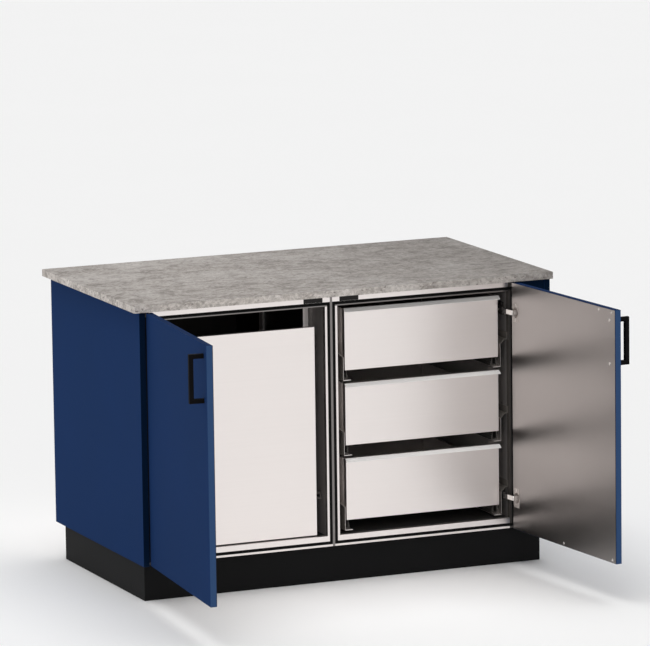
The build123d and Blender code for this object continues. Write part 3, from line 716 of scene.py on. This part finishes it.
def screw_head(radius: float, height: float, recess: float, rings: int = 14, sides: int = 48
               ) -> Patch:
    """Low domed screw head on Z = 0 with a cross-shaped driver recess.

    Inside the rim, which starts at 0.93 R, the height at radius r is the dome
    h (1 - 0.45 (r / R)^2), less the recess where the point lies within the cross: two bars of
    half width 0.14 R that reach to 0.55 R and fade out at their ends. The rim curves down to
    Z = 0 in a quarter round.

    Args:
        radius: radius R of the head.
        height: height h of the dome's middle.
        recess: depth of the cross.
        rings: rows from the middle to the rim.
        sides: points round the axis.

    Returns:
        The head as a closed patch, its flat underside included.
    """
    rim_from, droop, bar, reach = 0.93, 0.45, 0.14 * radius, 0.55 * radius
    share = np.linspace(0.0, rim_from, rings)[:, None]
    angle = around(sides)
    dome = spun(share * radius, height * (1.0 - droop * share ** 2), angle)
    across = np.sort(np.abs(dome[..., :2]), axis=-1)
    cross = np.clip((bar - across[..., 0]) / (0.35 * bar), 0.0, 1.0)
    dome[..., 2] -= recess * cross * np.clip((reach - across[..., 1]) / (0.15 * reach), 0.0, 1.0)
    brim = height * (1.0 - droop * rim_from ** 2)
    fall = np.radians(np.linspace(15.0, 90.0, 6))[:, None]
    rim = spun(radius * (rim_from + (1.0 - rim_from) * np.sin(fall)), brim * np.cos(fall), angle)
    return Patch(np.concatenate([dome, rim, np.zeros((1, sides, 3))]))


def rounded_rectangle(width: np.ndarray, length: np.ndarray, radius: np.ndarray,
                      height: np.ndarray, corner: int = 8, straight: int = 6) -> Patch:
    """Stack rounded rectangles into a wall.

    Each outline runs round four quarter circles of the given radius, whose centres lie half the
    width and half the length less the radius from the middle, and straight sides between them.

    Args:
        width: full width along X of each row.
        length: full length along Y of each row.
        radius: corner radius of each row.
        height: height of each row.
        corner: points in each quarter circle.
        straight: extra points along each side.

    Returns:
        The stacked patch.
    """
    signs = np.array(((1, 1), (-1, 1), (-1, -1), (1, -1)))
    half = np.stack([width / 2 - radius, length / 2 - radius], axis=-1)[:, None, :]
    share = np.linspace(0.0, 1.0, straight + 2)[1:-1, None]
    runs = []
    for index, sign in enumerate(signs):
        angle = np.radians(np.linspace(0.0, 90.0, corner) + 90.0 * index)
        spokes = np.stack([np.cos(angle), np.sin(angle)], axis=-1) * radius[:, None, None]
        start, stop = (s * half + spokes[:, -1:] for s in (sign, signs[(index + 1) % 4]))
        runs += [sign * half + spokes, start + (stop - start) * share]
    flat = np.concatenate(runs, axis=1)
    return Patch(np.concatenate([flat, height[:, None, None] + 0.0 * flat[..., :1]], axis=-1))


# Sub-assemblies


@dataclass(frozen=True)
class Dresser:
    """Gives the frame's own nodes their finishes and hangs new pieces on their bodies."""

    nodes: dict[str, bpy.types.Object]
    weld_gap: float = 0.00001
    bevel_segments: int = 2
    bevel_from: float = 40.0

    def dress(self, finish: str, *nodes: str, edge: float = 0.0) -> None:
        """Give nodes one finish all over, and soften their edges.

        Args:
            finish: name of the finish.
            nodes: names of the frame's nodes.
            edge: width of the softened edge in millimetres, or 0 for none.
        """
        for node in nodes:
            piece = self.nodes[node]
            piece.data.materials.clear()
            piece.data.materials.append(material(finish))
            if edge:
                self.soften(piece, edge)
            LOG.info("%s: %s", node, finish)

    def soften(self, piece: bpy.types.Object, edge: float) -> None:
        """Weld a piece's loose triangles and break its sharp edges."""
        weld = piece.modifiers.new("weld", "WELD")
        weld.merge_threshold = self.weld_gap
        bevel = piece.modifiers.new("edges", "BEVEL")
        bevel.width = edge * MILLIMETRE
        bevel.segments = self.bevel_segments
        bevel.limit_method = "ANGLE"
        bevel.angle_limit = math.radians(self.bevel_from)
        bevel.use_clamp_overlap = True

    def hang(self, name: str, patches: Sequence[Patch], finish: str, body: str, slot: str,
             *replaced: str, smooth: float = 35.0) -> None:
        """Build a new piece, finish it and let it ride on a body.

        Args:
            name: name of the piece.
            patches: its surfaces.
            finish: name of its finish.
            body: body that it rides on.
            slot: not used.
            replaced: nodes of the frame that it stands for.
            smooth: angle in degrees below which its faces are shaded as one.
        """
        piece = made_object(name, patches, smooth)
        piece.data.materials.append(material(finish))
        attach(piece, body)
        if replaced:
            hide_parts(*replaced)
        LOG.info("%s: %s on %s", piece.name, finish, body)


class Part:
    """A sub-assembly of the cabinet."""

    def build(self, dresser: Dresser) -> None:
        """Dress the nodes of the sub-assembly and hang its new pieces."""
        raise NotImplementedError


@dataclass(frozen=True)
class Carcass(Part):
    """Countertop, side panels, filler, spacer rails and drawer brackets."""

    edge: float = 0.5
    slab_edge: float = 1.0

    def build(self, dresser: Dresser) -> None:
        """Dress the boards, the slab and the brackets."""
        dresser.dress("honed_stone", "countertop", edge=self.slab_edge)
        dresser.dress("blue_board", "side_panel_left", "side_panel_right", "filler_panel",
                      edge=self.edge)
        dresser.dress("shell_steel", "spacer_rails", edge=self.edge)
        dresser.dress("bracket_steel", "drawer_brackets")


@dataclass(frozen=True)
class Plinth(Part):
    """Toe-kick boards and the levelling feet that carry the boxes."""

    foot_x: Sequence[float] = (-561.5, -140.5, 49.5, 470.5)
    foot_y: Sequence[float] = (-233.5, 247.5)
    pad_radius: float = 23.5
    pad_height: float = 9.0
    pad_round: float = 1.5
    sole_inset: float = 2.4
    stem_radius: float = 11.5
    thread_depth: float = 1.1
    thread_pitch: float = 4.0
    socket_radius: float = 17.6
    socket_height: float = 34.0
    flange_radius: float = 19.0
    flute_depth: float = 1.0
    flutes: int = 12
    height: float = 115.0

    def build(self, dresser: Dresser) -> None:
        """Dress the boards and build the feet."""
        dresser.dress("black_board", "toe_kick_front", "toe_kick_back", "toe_kick_left",
                      "toe_kick_right", "toe_kick_brace", edge=0.5)
        patches = [patch.moved(x, y, 0.0) for x in self.foot_x for y in self.foot_y
                   for patch in (self.pad(), self.stem(), self.socket())]
        dresser.hang("levelling_feet_threaded", patches, "black_plastic", "cabinet",
                     "black_plastic", "levelling_feet")

    def pad(self) -> Patch:
        """Bell-shaped foot pad: flat sole, short rim, cone and a collar round the stem."""
        edge, top, bend = self.pad_radius, self.pad_height, self.pad_round
        profile = np.concatenate([
            [(0.0, 0.0), (edge - self.sole_inset, 0.0)],
            arc((edge - bend, bend), bend, -60.0, 70.0, 7),
            [(18.0, 4.6), (15.4, 6.6), (14.4, top - 0.6), (13.8, top), (0.0, top)]])
        return Patch(spun(profile[:, :1], profile[:, 1:], around(sides=40)))

    def stem(self) -> Patch:
        """Threaded stem from inside the pad up into the socket."""
        return threaded(self.stem_radius, self.thread_depth, self.thread_pitch,
                        self.pad_height - 0.5, self.height - self.socket_height + 2.0)

    def socket(self) -> Patch:
        """Fluted socket under the box with a wide flange at its top.

        Each row gives a radius, a height and the share of the flutes there. The radius at angle a
        is the row's radius less a flute, which is a cosine wave of the number of flutes.
        """
        low, top = self.height - self.socket_height, self.height
        wall, flange = self.socket_radius, self.flange_radius
        rows = np.array([(0.0, low, 0.0), (13.0, low, 0.0), (13.8, low + 0.8, 0.3),
                         (wall, low + 5.0, 1.0), (wall, top - 6.0, 1.0),
                         (flange, top - 4.4, 0.0), (flange, top, 0.0), (0.0, top, 0.0)])
        radius, height, fluted = (column[:, None] for column in rows.T)
        angle = around(sides=72)
        wave = 0.5 - 0.5 * np.cos(self.flutes * angle)
        return Patch(spun(radius - self.flute_depth * fluted * wave, height, angle))


@dataclass(frozen=True)
class SteelBox(Part):
    """One stainless box: shell, liner, folded front frame, gasket and magnetic catch."""

    side: Side
    frame_setback: float = 22.0
    top: float = 890.0
    nose_width: float = 58.0
    nose_height: float = 15.6
    nose_drop: float = 3.9
    nose_middle: float = 59.0
    nose_play: float = 0.05
    plate_brim: float = 2.2
    plate_rise: float = 0.55
    plate_round: float = 0.4

    def build(self, dresser: Dresser) -> None:
        """Dress the box of one bay."""
        side = self.side.value
        dresser.dress("shell_steel", f"{side}_box_shell", edge=1.2)
        dresser.dress(f"{side}_liner_steel", f"{side}_box_liner")
        dresser.dress(f"{side}_frame_steel", f"{side}_box_frame", edge=0.35)
        dresser.dress("gasket_rubber", f"{side}_gasket", edge=0.4)
        dresser.dress("black_plastic", f"{side}_magnetic_catch", edge=0.3)
        dresser.hang(f"{side}_catch_plate", [self.catch_plate()], "black_plastic", "cabinet",
                     "black_plastic")

    def catch_plate(self) -> Patch:
        """Thin face plate round the catch's nose, lying on the upper rim of the frame.

        A cross-section of (margin outwards from the nose, height off the rim) runs from the nose
        out over a rounded brim and back along the rim, and each of its points gives one rounded
        rectangle round the nose.
        """
        brim, rise, bend = self.plate_brim, self.plate_rise, self.plate_round
        section = np.concatenate([[(self.nose_play, 0.0), (self.nose_play, rise)],
                                  arc((brim - bend, rise - bend), bend, 90.0, 0.0, 5),
                                  [(brim, 0.0)]])
        margin, lift = section.T
        wall = rounded_rectangle(self.nose_width + 2.0 * margin, self.nose_height + 2.0 * margin,
                                 bend + 0.5 * margin, lift, corner=4, straight=10)
        middle = STILE + self.nose_middle * (-1.0 if self.side is Side.LEFT else 1.0)
        return Patch(wall.points, close_rows=True).turned(TO_FRONT).moved(
            middle, FRONT + self.frame_setback, self.top - self.nose_drop - self.nose_height / 2.0)


@dataclass(frozen=True)
class Door(Part):
    """One door with its steel lining, pull, screws and two concealed hinges.

    Its sizes are those of the shut left door, and the right door is its mirror image.
    """

    side: Side
    open_angle: float = 95.0
    slab: float = 19.0
    lining: float = 1.5
    axis_out: float = 2.0
    liner_screws: Sequence[tuple[float, float]] = (
        (-139.0, 876.0), (-67.0, 876.0), (-67.0, 128.0), (-350.75, 128.0))
    liner_head: float = 4.2
    liner_reach: float = 9.0
    pull_screws: Sequence[tuple[float, float]] = ((-78.0, 721.0), (-78.0, 852.0))
    pull_head: float = 5.0
    pull_reach: float = 29.5
    head_height: float = 1.1
    head_recess: float = 0.7
    shank: float = 1.7
    shank_cut: float = 0.3
    shank_pitch: float = 1.2
    small_recess: float = 0.6
    hinge_heights: Sequence[float] = (218.0, 796.0)
    cup_x: float = -632.0
    cup_flange: float = 1.0
    cup_screw_rise: float = 24.0
    plate_face: float = -634.3
    plate_y: float = -301.5
    plate_screw_rise: float = 14.0
    arm_face: float = -616.5
    arm_screws_y: Sequence[float] = (-321.5, -291.5)

    def build(self, dresser: Dresser) -> None:
        """Dress the door and build its screws and hinge fixings."""
        side = self.side.value
        dresser.dress("blue_door", f"{side}_door_slab", edge=0.5)
        dresser.dress("door_steel", f"{side}_door_liner")
        dresser.dress("black_powder_coat", f"{side}_door_pull", edge=0.6)
        dresser.dress("cup_steel", f"{side}_hinge_cups", edge=0.3)
        dresser.dress("shaded_arm_steel", f"{side}_hinge_arms", edge=0.3)
        dresser.dress("hinge_steel", f"{side}_hinge_links", edge=0.3)
        dresser.hang(f"{side}_door_cross_screws", self.door_screws(), "screw_steel",
                     f"{side}_door", "screw_steel", f"{side}_door_screws")
        dresser.hang(f"{side}_cup_fixings", self.cup_fixings(), "screw_steel", f"{side}_door",
                     "screw_steel")
        dresser.hang(f"{side}_arm_fixings", self.arm_fixings(), "screw_steel", "cabinet",
                     "screw_steel")

    def opened(self, patch: Patch) -> Patch:
        """Swing a patch of the shut left door open about its axis, and mirror it if need be.

        With the axis at (cx, cy), a point (x, y) goes to cx + (x - cx) cos t + (y - cy) sin t and
        cy - (x - cx) sin t + (y - cy) cos t, where t is the open angle.
        """
        cx, cy = LEFT_BAY_START, FRONT - self.axis_out
        turn = math.radians(self.open_angle)
        c, s = math.cos(turn), math.sin(turn)
        axes = ((c, -s, 0.0), (s, c, 0.0), (0.0, 0.0, 1.0))
        return self.handed(patch.moved(-cx, -cy, 0.0).turned(axes).moved(cx, cy, 0.0))

    def handed(self, patch: Patch) -> Patch:
        """Leave a patch as it is on the left, and mirror it about the stile on the right."""
        if self.side is Side.LEFT:
            return patch
        return replace(patch, points=patch.points * (-1.0, 1.0, 1.0) + (2.0 * STILE, 0.0, 0.0))

    def door_screws(self) -> list[Patch]:
        """Liner screws and pull screws, each a crossed head over a threaded shank."""
        face = FRONT + self.slab + self.lining
        patches = []
        for places, radius, reach in ((self.liner_screws, self.liner_head, self.liner_reach),
                                      (self.pull_screws, self.pull_head, self.pull_reach)):
            head = screw_head(radius, self.head_height, self.head_recess).turned(INWARD)
            shank = threaded(self.shank, self.shank_cut, self.shank_pitch, -reach, 0.0,
                             sides=16, steps=6).turned(INWARD)
            patches += [self.opened(part.moved(x, face, z)) for x, z in places
                        for part in (head, shank)]
        return patches

    def small_head(self, radius: float, height: float) -> Patch:
        """Head of a hinge screw."""
        return screw_head(radius, height, self.small_recess, rings=10, sides=32)

    def cup_fixings(self) -> list[Patch]:
        """Two small screws in each hinge cup's flange."""
        face = FRONT + self.slab + self.lining + self.cup_flange
        head = self.small_head(radius=3.3, height=0.9).turned(INWARD)
        return [self.opened(head.moved(self.cup_x, face, z + rise)) for z in self.hinge_heights
                for rise in (-self.cup_screw_rise, self.cup_screw_rise)]

    def arm_fixings(self) -> list[Patch]:
        """Mounting-plate screws and the two adjusters on each hinge arm."""
        plate = self.small_head(radius=3.4, height=1.0).turned(SIDEWAYS)
        adjuster = self.small_head(radius=3.0, height=0.8).turned(SIDEWAYS)
        patches = []
        for z in self.hinge_heights:
            patches += [plate.moved(self.plate_face, self.plate_y, z + rise)
                        for rise in (-self.plate_screw_rise, self.plate_screw_rise)]
            patches += [adjuster.moved(self.arm_face, y, z) for y in self.arm_screws_y]
        return [self.handed(patch) for patch in patches]


@dataclass(frozen=True)
class Drawer(Part):
    """One drawer of the right bay: lipped front with side returns, tray and runners."""

    level: Level
    left_edge: float = 4.0
    right_edge: float = 516.0
    front: float = -319.6
    lowest: float = 189.7
    pitch: float = 231.4
    height: float = 187.0
    gauge: float = 1.2
    depth: float = 58.0
    corner: float = 9.0

    def build(self, dresser: Dresser) -> None:
        """Dress the drawer and build its side returns."""
        level = self.level.value
        cheeks = [self.cheek(self.left_edge), self.cheek(self.right_edge - self.gauge)]
        dresser.hang(f"{level}_drawer_cheeks", cheeks, "cheek_steel", f"{level}_drawer",
                     "stainless")
        dresser.dress("lipped_steel", f"{level}_drawer_front", edge=0.4)
        dresser.dress("tray_steel", f"{level}_drawer_tray")
        dresser.dress("runner_steel", *(f"{level}_runner_{part}"
                                        for part in ("fixed", "middle", "moving")))

    def cheek(self, start: float) -> Patch:
        """Side return of the front as one closed skin.

        Each row is a narrow loop at its height: the gauge wide, and as deep as the return, with a
        half round at its rear edge. Over the corner radius at the top and at the bottom the depth
        falls off as a quarter circle, and the first and last rows close to a line.

        Args:
            start: X of the return's left face.

        Returns:
            The skin.
        """
        bottom = self.lowest + list(Level).index(self.level) * self.pitch
        share = np.concatenate([np.linspace(-1.0, 0.0, 9), np.linspace(0.0, 1.0, 9)])
        lift = np.where(share < 0.0, self.corner * (1.0 + share),
                        self.height - self.corner * (1.0 - share))[:, None]
        depth = self.depth - self.corner * (1.0 - np.sqrt(1.0 - share ** 2))[:, None]
        half = self.gauge / 2.0
        turn = np.radians(np.linspace(0.0, 180.0, 7))
        width = np.concatenate([[half], half * np.cos(turn), [-half]])
        reach = np.concatenate([[0.0], np.ones_like(turn), [0.0]])
        bulge = np.concatenate([[0.0], half * np.sin(turn), [0.0]])
        y = self.front + reach * (depth - half) + bulge
        loops = np.stack([start + half + width + 0.0 * y, y, bottom + lift + 0.0 * y], axis=-1)
        first, last = loops[:1].copy(), loops[-1:].copy()
        first[..., 0] = last[..., 0] = start + half
        return Patch(np.concatenate([first, loops, last]))


@dataclass(frozen=True)
class BinDrawer(Part):
    """Tall pull-out of the left bay: front, cradle, hoop, runners and two waste bins."""

    middle_x: float = -351.0
    bin_middles: Sequence[float] = (-187.5, 80.5)
    floor: float = 154.0
    mouth_width: float = 400.0
    mouth_length: float = 232.0
    height: float = 505.0
    wall: float = 2.4
    taper: float = 22.0
    corner: float = 28.0
    rim_width: float = 9.0
    rim_height: float = 14.0
    rim_round: float = 2.2
    floor_round: float = 9.0
    rib_depth: float = 1.4
    rib_rows: Sequence[float] = (60.0, 150.0, 156.0, 420.0, 426.0)
    facing_wall: float = 285.3
    facing_width: float = 16.0
    facing_gauge: float = 1.2
    facing_front: float = -220.5
    facing_foot: float = 310.0
    facing_top: float = 852.0
    facing_end: float = 10.0

    def build(self, dresser: Dresser) -> None:
        """Dress the pull-out and build its bins and strap facings."""
        dresser.dress("front_steel", "bin_front", edge=0.4)
        dresser.dress("tray_steel", "bin_cradle", "bin_hoop", edge=0.3)
        dresser.dress("runner_steel", "bin_runner_fixed", "bin_runner_middle",
                      "bin_runner_moving")
        dresser.dress("strap_steel", "runner_straps")
        dresser.hang("strap_facings", [self.facing(-1.0), self.facing(1.0)], "strap_steel",
                     "cabinet", "stainless")
        for name, middle in zip(("front", "rear"), self.bin_middles):
            shell = self.bin_shell().moved(self.middle_x, middle, self.floor)
            dresser.hang(f"{name}_waste_bin_moulded", [shell], "bin_plastic", "bin_drawer",
                         "bin_plastic", f"{name}_waste_bin", smooth=40.0)

    def facing(self, side: float) -> Patch:
        """Turned front edge of a runner strap, as one closed skin with rounded ends.

        Each row is a narrow loop at its height, as thick as the sheet, and as wide as the facing
        times the square root of 1 - t^4, where t grows to 0.96 over each end and is 0 between
        them. The wall edge of every row lies on the wall.

        Args:
            side: -1 for the strap on the left wall, 1 for that on the right wall.

        Returns:
            The skin.
        """
        end = np.linspace(0.0, 1.0, 7)
        share = 0.96 * np.concatenate([end[::-1], end])
        fall = self.facing_end * (1.0 - end)
        rise = np.concatenate([fall[::-1], self.facing_top - self.facing_foot - fall])
        width = self.facing_width * np.sqrt(1.0 - share ** 4)
        across = np.array((0.0, 0.0, 0.12, 0.5, 1.0, 1.0, 0.5, 0.12))
        along = self.facing_gauge * np.array((0.25, 0.75, 1.0, 1.0, 1.0, 0.0, 0.0, 0.0))
        x = self.middle_x + side * (self.facing_wall - width[:, None] * (1.0 - across))
        z = self.facing_foot + rise[:, None] + 0.0 * x
        loops = np.stack([x, self.facing_front - along + 0.0 * x, z], axis=-1)
        first, last = (np.broadcast_to(loops[i].mean(axis=0), loops[:1].shape) for i in (0, -1))
        return Patch(np.concatenate([first, loops, last]))

    def bin_shell(self) -> Patch:
        """Waste bin as one closed skin.

        A profile of (margin, height) runs from the middle of the floor out and up the outer wall,
        over the turned rim and down the inner wall to the floor again. Each profile point gives a
        rounded rectangle that is the mouth's outline grown by the margin on every side, less the
        taper that grows evenly from the mouth to the floor. The first and last close to a point.
        """
        margin, height = self.profile().T
        taper = self.taper * (1.0 - height / self.height)
        grow = 2.0 * margin - taper
        radius = np.clip(self.corner + margin - taper * 0.1, 0.0, None)
        width, length = self.mouth_width + grow, self.mouth_length + grow
        width[[0, -1]], length[[0, -1]], radius[[0, -1]] = 1e-4, 1e-4, 0.0
        return rounded_rectangle(width, length, radius, height)

    def profile(self) -> np.ndarray:
        """Profile of the bin as (margin outwards from the mouth outline, height)."""
        edge, top, wall, bend = self.rim_width, self.height, self.wall, self.rim_round
        foot, under = self.floor_round, top - self.rim_height
        ribs = np.array((0.0, 0.0, -self.rib_depth, -self.rib_depth, 0.0, 0.0))
        outer = np.stack([ribs, (*self.rib_rows, under - 2.0)], axis=-1)
        return np.concatenate([
            [(-60.0, 0.0), (-30.0, 0.0)], arc((-foot, foot), foot, -90.0, 0.0, 6), outer,
            [(0.0, top - wall - 0.2), (edge - wall, top - wall), (edge - wall, under),
             (edge, under)],
            arc((edge - bend, top - bend), bend, 0.0, 90.0, 5),
            arc((bend - wall, top - bend), bend, 90.0, 180.0, 5), outer[::-1] - (wall, 0.0),
            arc((-wall - foot, wall + foot), foot, 0.0, -90.0, 6),
            [(-30.0, wall), (-60.0, wall)]])


def parts() -> Iterable[Part]:
    """Every sub-assembly in the order of building."""
    yield Carcass()
    yield Plinth()
    for side in Side:
        yield SteelBox(side)
        yield Door(side)
    yield BinDrawer()
    for level in Level:
        yield Drawer(level)


# Studio


@dataclass(frozen=True)
class Lamp:
    """One wide, soft lamp: the direction it shines from, its strength and its spread."""

    name: str
    toward: Sequence[float]
    strength: float
    spread: float

    def build(self) -> None:
        """Hang the lamp."""
        data = bpy.data.lights.new(self.name, "SUN")
        data.energy = self.strength
        data.angle = math.radians(self.spread)
        lamp = placed(self.name, data)
        lamp.rotation_mode = "QUATERNION"
        lamp.rotation_quaternion = Vector(self.toward).to_track_quat("Z", "Y")


@dataclass(frozen=True)
class Studio:
    """Floor, soft light and world."""

    floor_reach: float = 90000.0
    floor_ticks: int = 9
    light: Colour = (1.0, 1.0, 1.0)
    light_level: float = 0.05
    background: Colour = linear(242, 242, 242)
    lamps: Sequence[Lamp] = (Lamp("overhead_light", (0.0, 0.0, 1.0), 2.33, 60.0),
                             Lamp("front_light", (-0.4, -0.9, 0.3), 0.87, 60.0),
                             Lamp("back_light", (-0.5, 0.6, 1.0), 0.35, 50.0))

    def build(self) -> None:
        """Make the floor, the world and the lamps."""
        self.floor()
        self.world()
        for lamp in self.lamps:
            lamp.build()

    def floor(self) -> None:
        """Lay the floor as one flat grid at height zero."""
        ticks = np.linspace(-self.floor_reach, self.floor_reach, self.floor_ticks)
        x, y = np.meshgrid(ticks, ticks, indexing="ij")
        grid = Patch(np.stack([x, y, 0.0 * x], axis=-1), close_columns=False)
        floor = made_object("studio_floor", [grid], smooth=35.0)
        floor.data.materials.append(material("pale_floor"))

    def world(self) -> None:
        """Light from all round, and a pale background for what the camera and gloss see."""
        world = bpy.data.worlds.new("studio")
        bpy.context.scene.world = world
        graph = Graph(world, "OutputWorld")
        path = graph.add("LightPath")
        seen = graph.either(*(path.outputs[f"Is {kind} Ray"]
                              for kind in ("Camera", "Glossy", "Transmission")))
        light = graph.add("Background", Color=self.light, Strength=self.light_level)
        backdrop = graph.add("Background", Color=self.background)
        mix = graph.add("MixShader")
        for target, value in zip(mix.inputs, (seen, light.outputs[0], backdrop.outputs[0])):
            graph.feed(target, value)
        graph.close(mix)


@dataclass(frozen=True)
class Viewpoint:
    """Camera fitted to the picture: place in metres, turns in degrees, focal length in pixels."""

    place: Sequence[float] = (-6.49475, -15.39088, 3.61620)
    yaw: float = 23.1461
    pitch: float = -9.754
    roll: float = 0.7586
    focal_pixels: float = 5499.28
    picture_width: int = 650
    sensor: float = 36.0
    clip_start: float = 0.5
    clip_end: float = 400.0

    def axes(self) -> Matrix:
        """Camera axes as the columns of a turn: right, up and backwards."""
        yaw, pitch, roll = (math.radians(v) for v in (self.yaw, self.pitch, self.roll))
        ahead = Vector((math.sin(yaw) * math.cos(pitch), math.cos(yaw) * math.cos(pitch),
                        math.sin(pitch)))
        right = Vector((math.cos(yaw), -math.sin(yaw), 0.0))
        down = ahead.cross(right)
        level_right = math.cos(roll) * right + math.sin(roll) * down
        level_down = math.cos(roll) * down - math.sin(roll) * right
        return Matrix((level_right, -level_down, -ahead)).transposed()

    def build(self) -> None:
        """Make the camera and give it to the scene."""
        data = bpy.data.cameras.new("camera")
        data.sensor_width = self.sensor
        data.lens = self.focal_pixels * self.sensor / self.picture_width
        data.clip_start = self.clip_start
        data.clip_end = self.clip_end
        camera = placed("camera", data)
        camera.matrix_world = Matrix.Translation(Vector(self.place)) @ self.axes().to_4x4()
        bpy.context.scene.camera = camera


def main() -> None:
    """Load the frame, dress the cabinet and set up the studio."""
    logging.basicConfig(level=logging.INFO, format="%(name)s: %(message)s")
    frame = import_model()
    dresser = Dresser(frame["nodes"])
    for part in parts():
        part.build(dresser)
        LOG.info("%s done", type(part).__name__)
    Studio().build()
    Viewpoint().build()
    bpy.context.scene.view_settings.view_transform = "Standard"


if __name__ == "__main__":
    main()
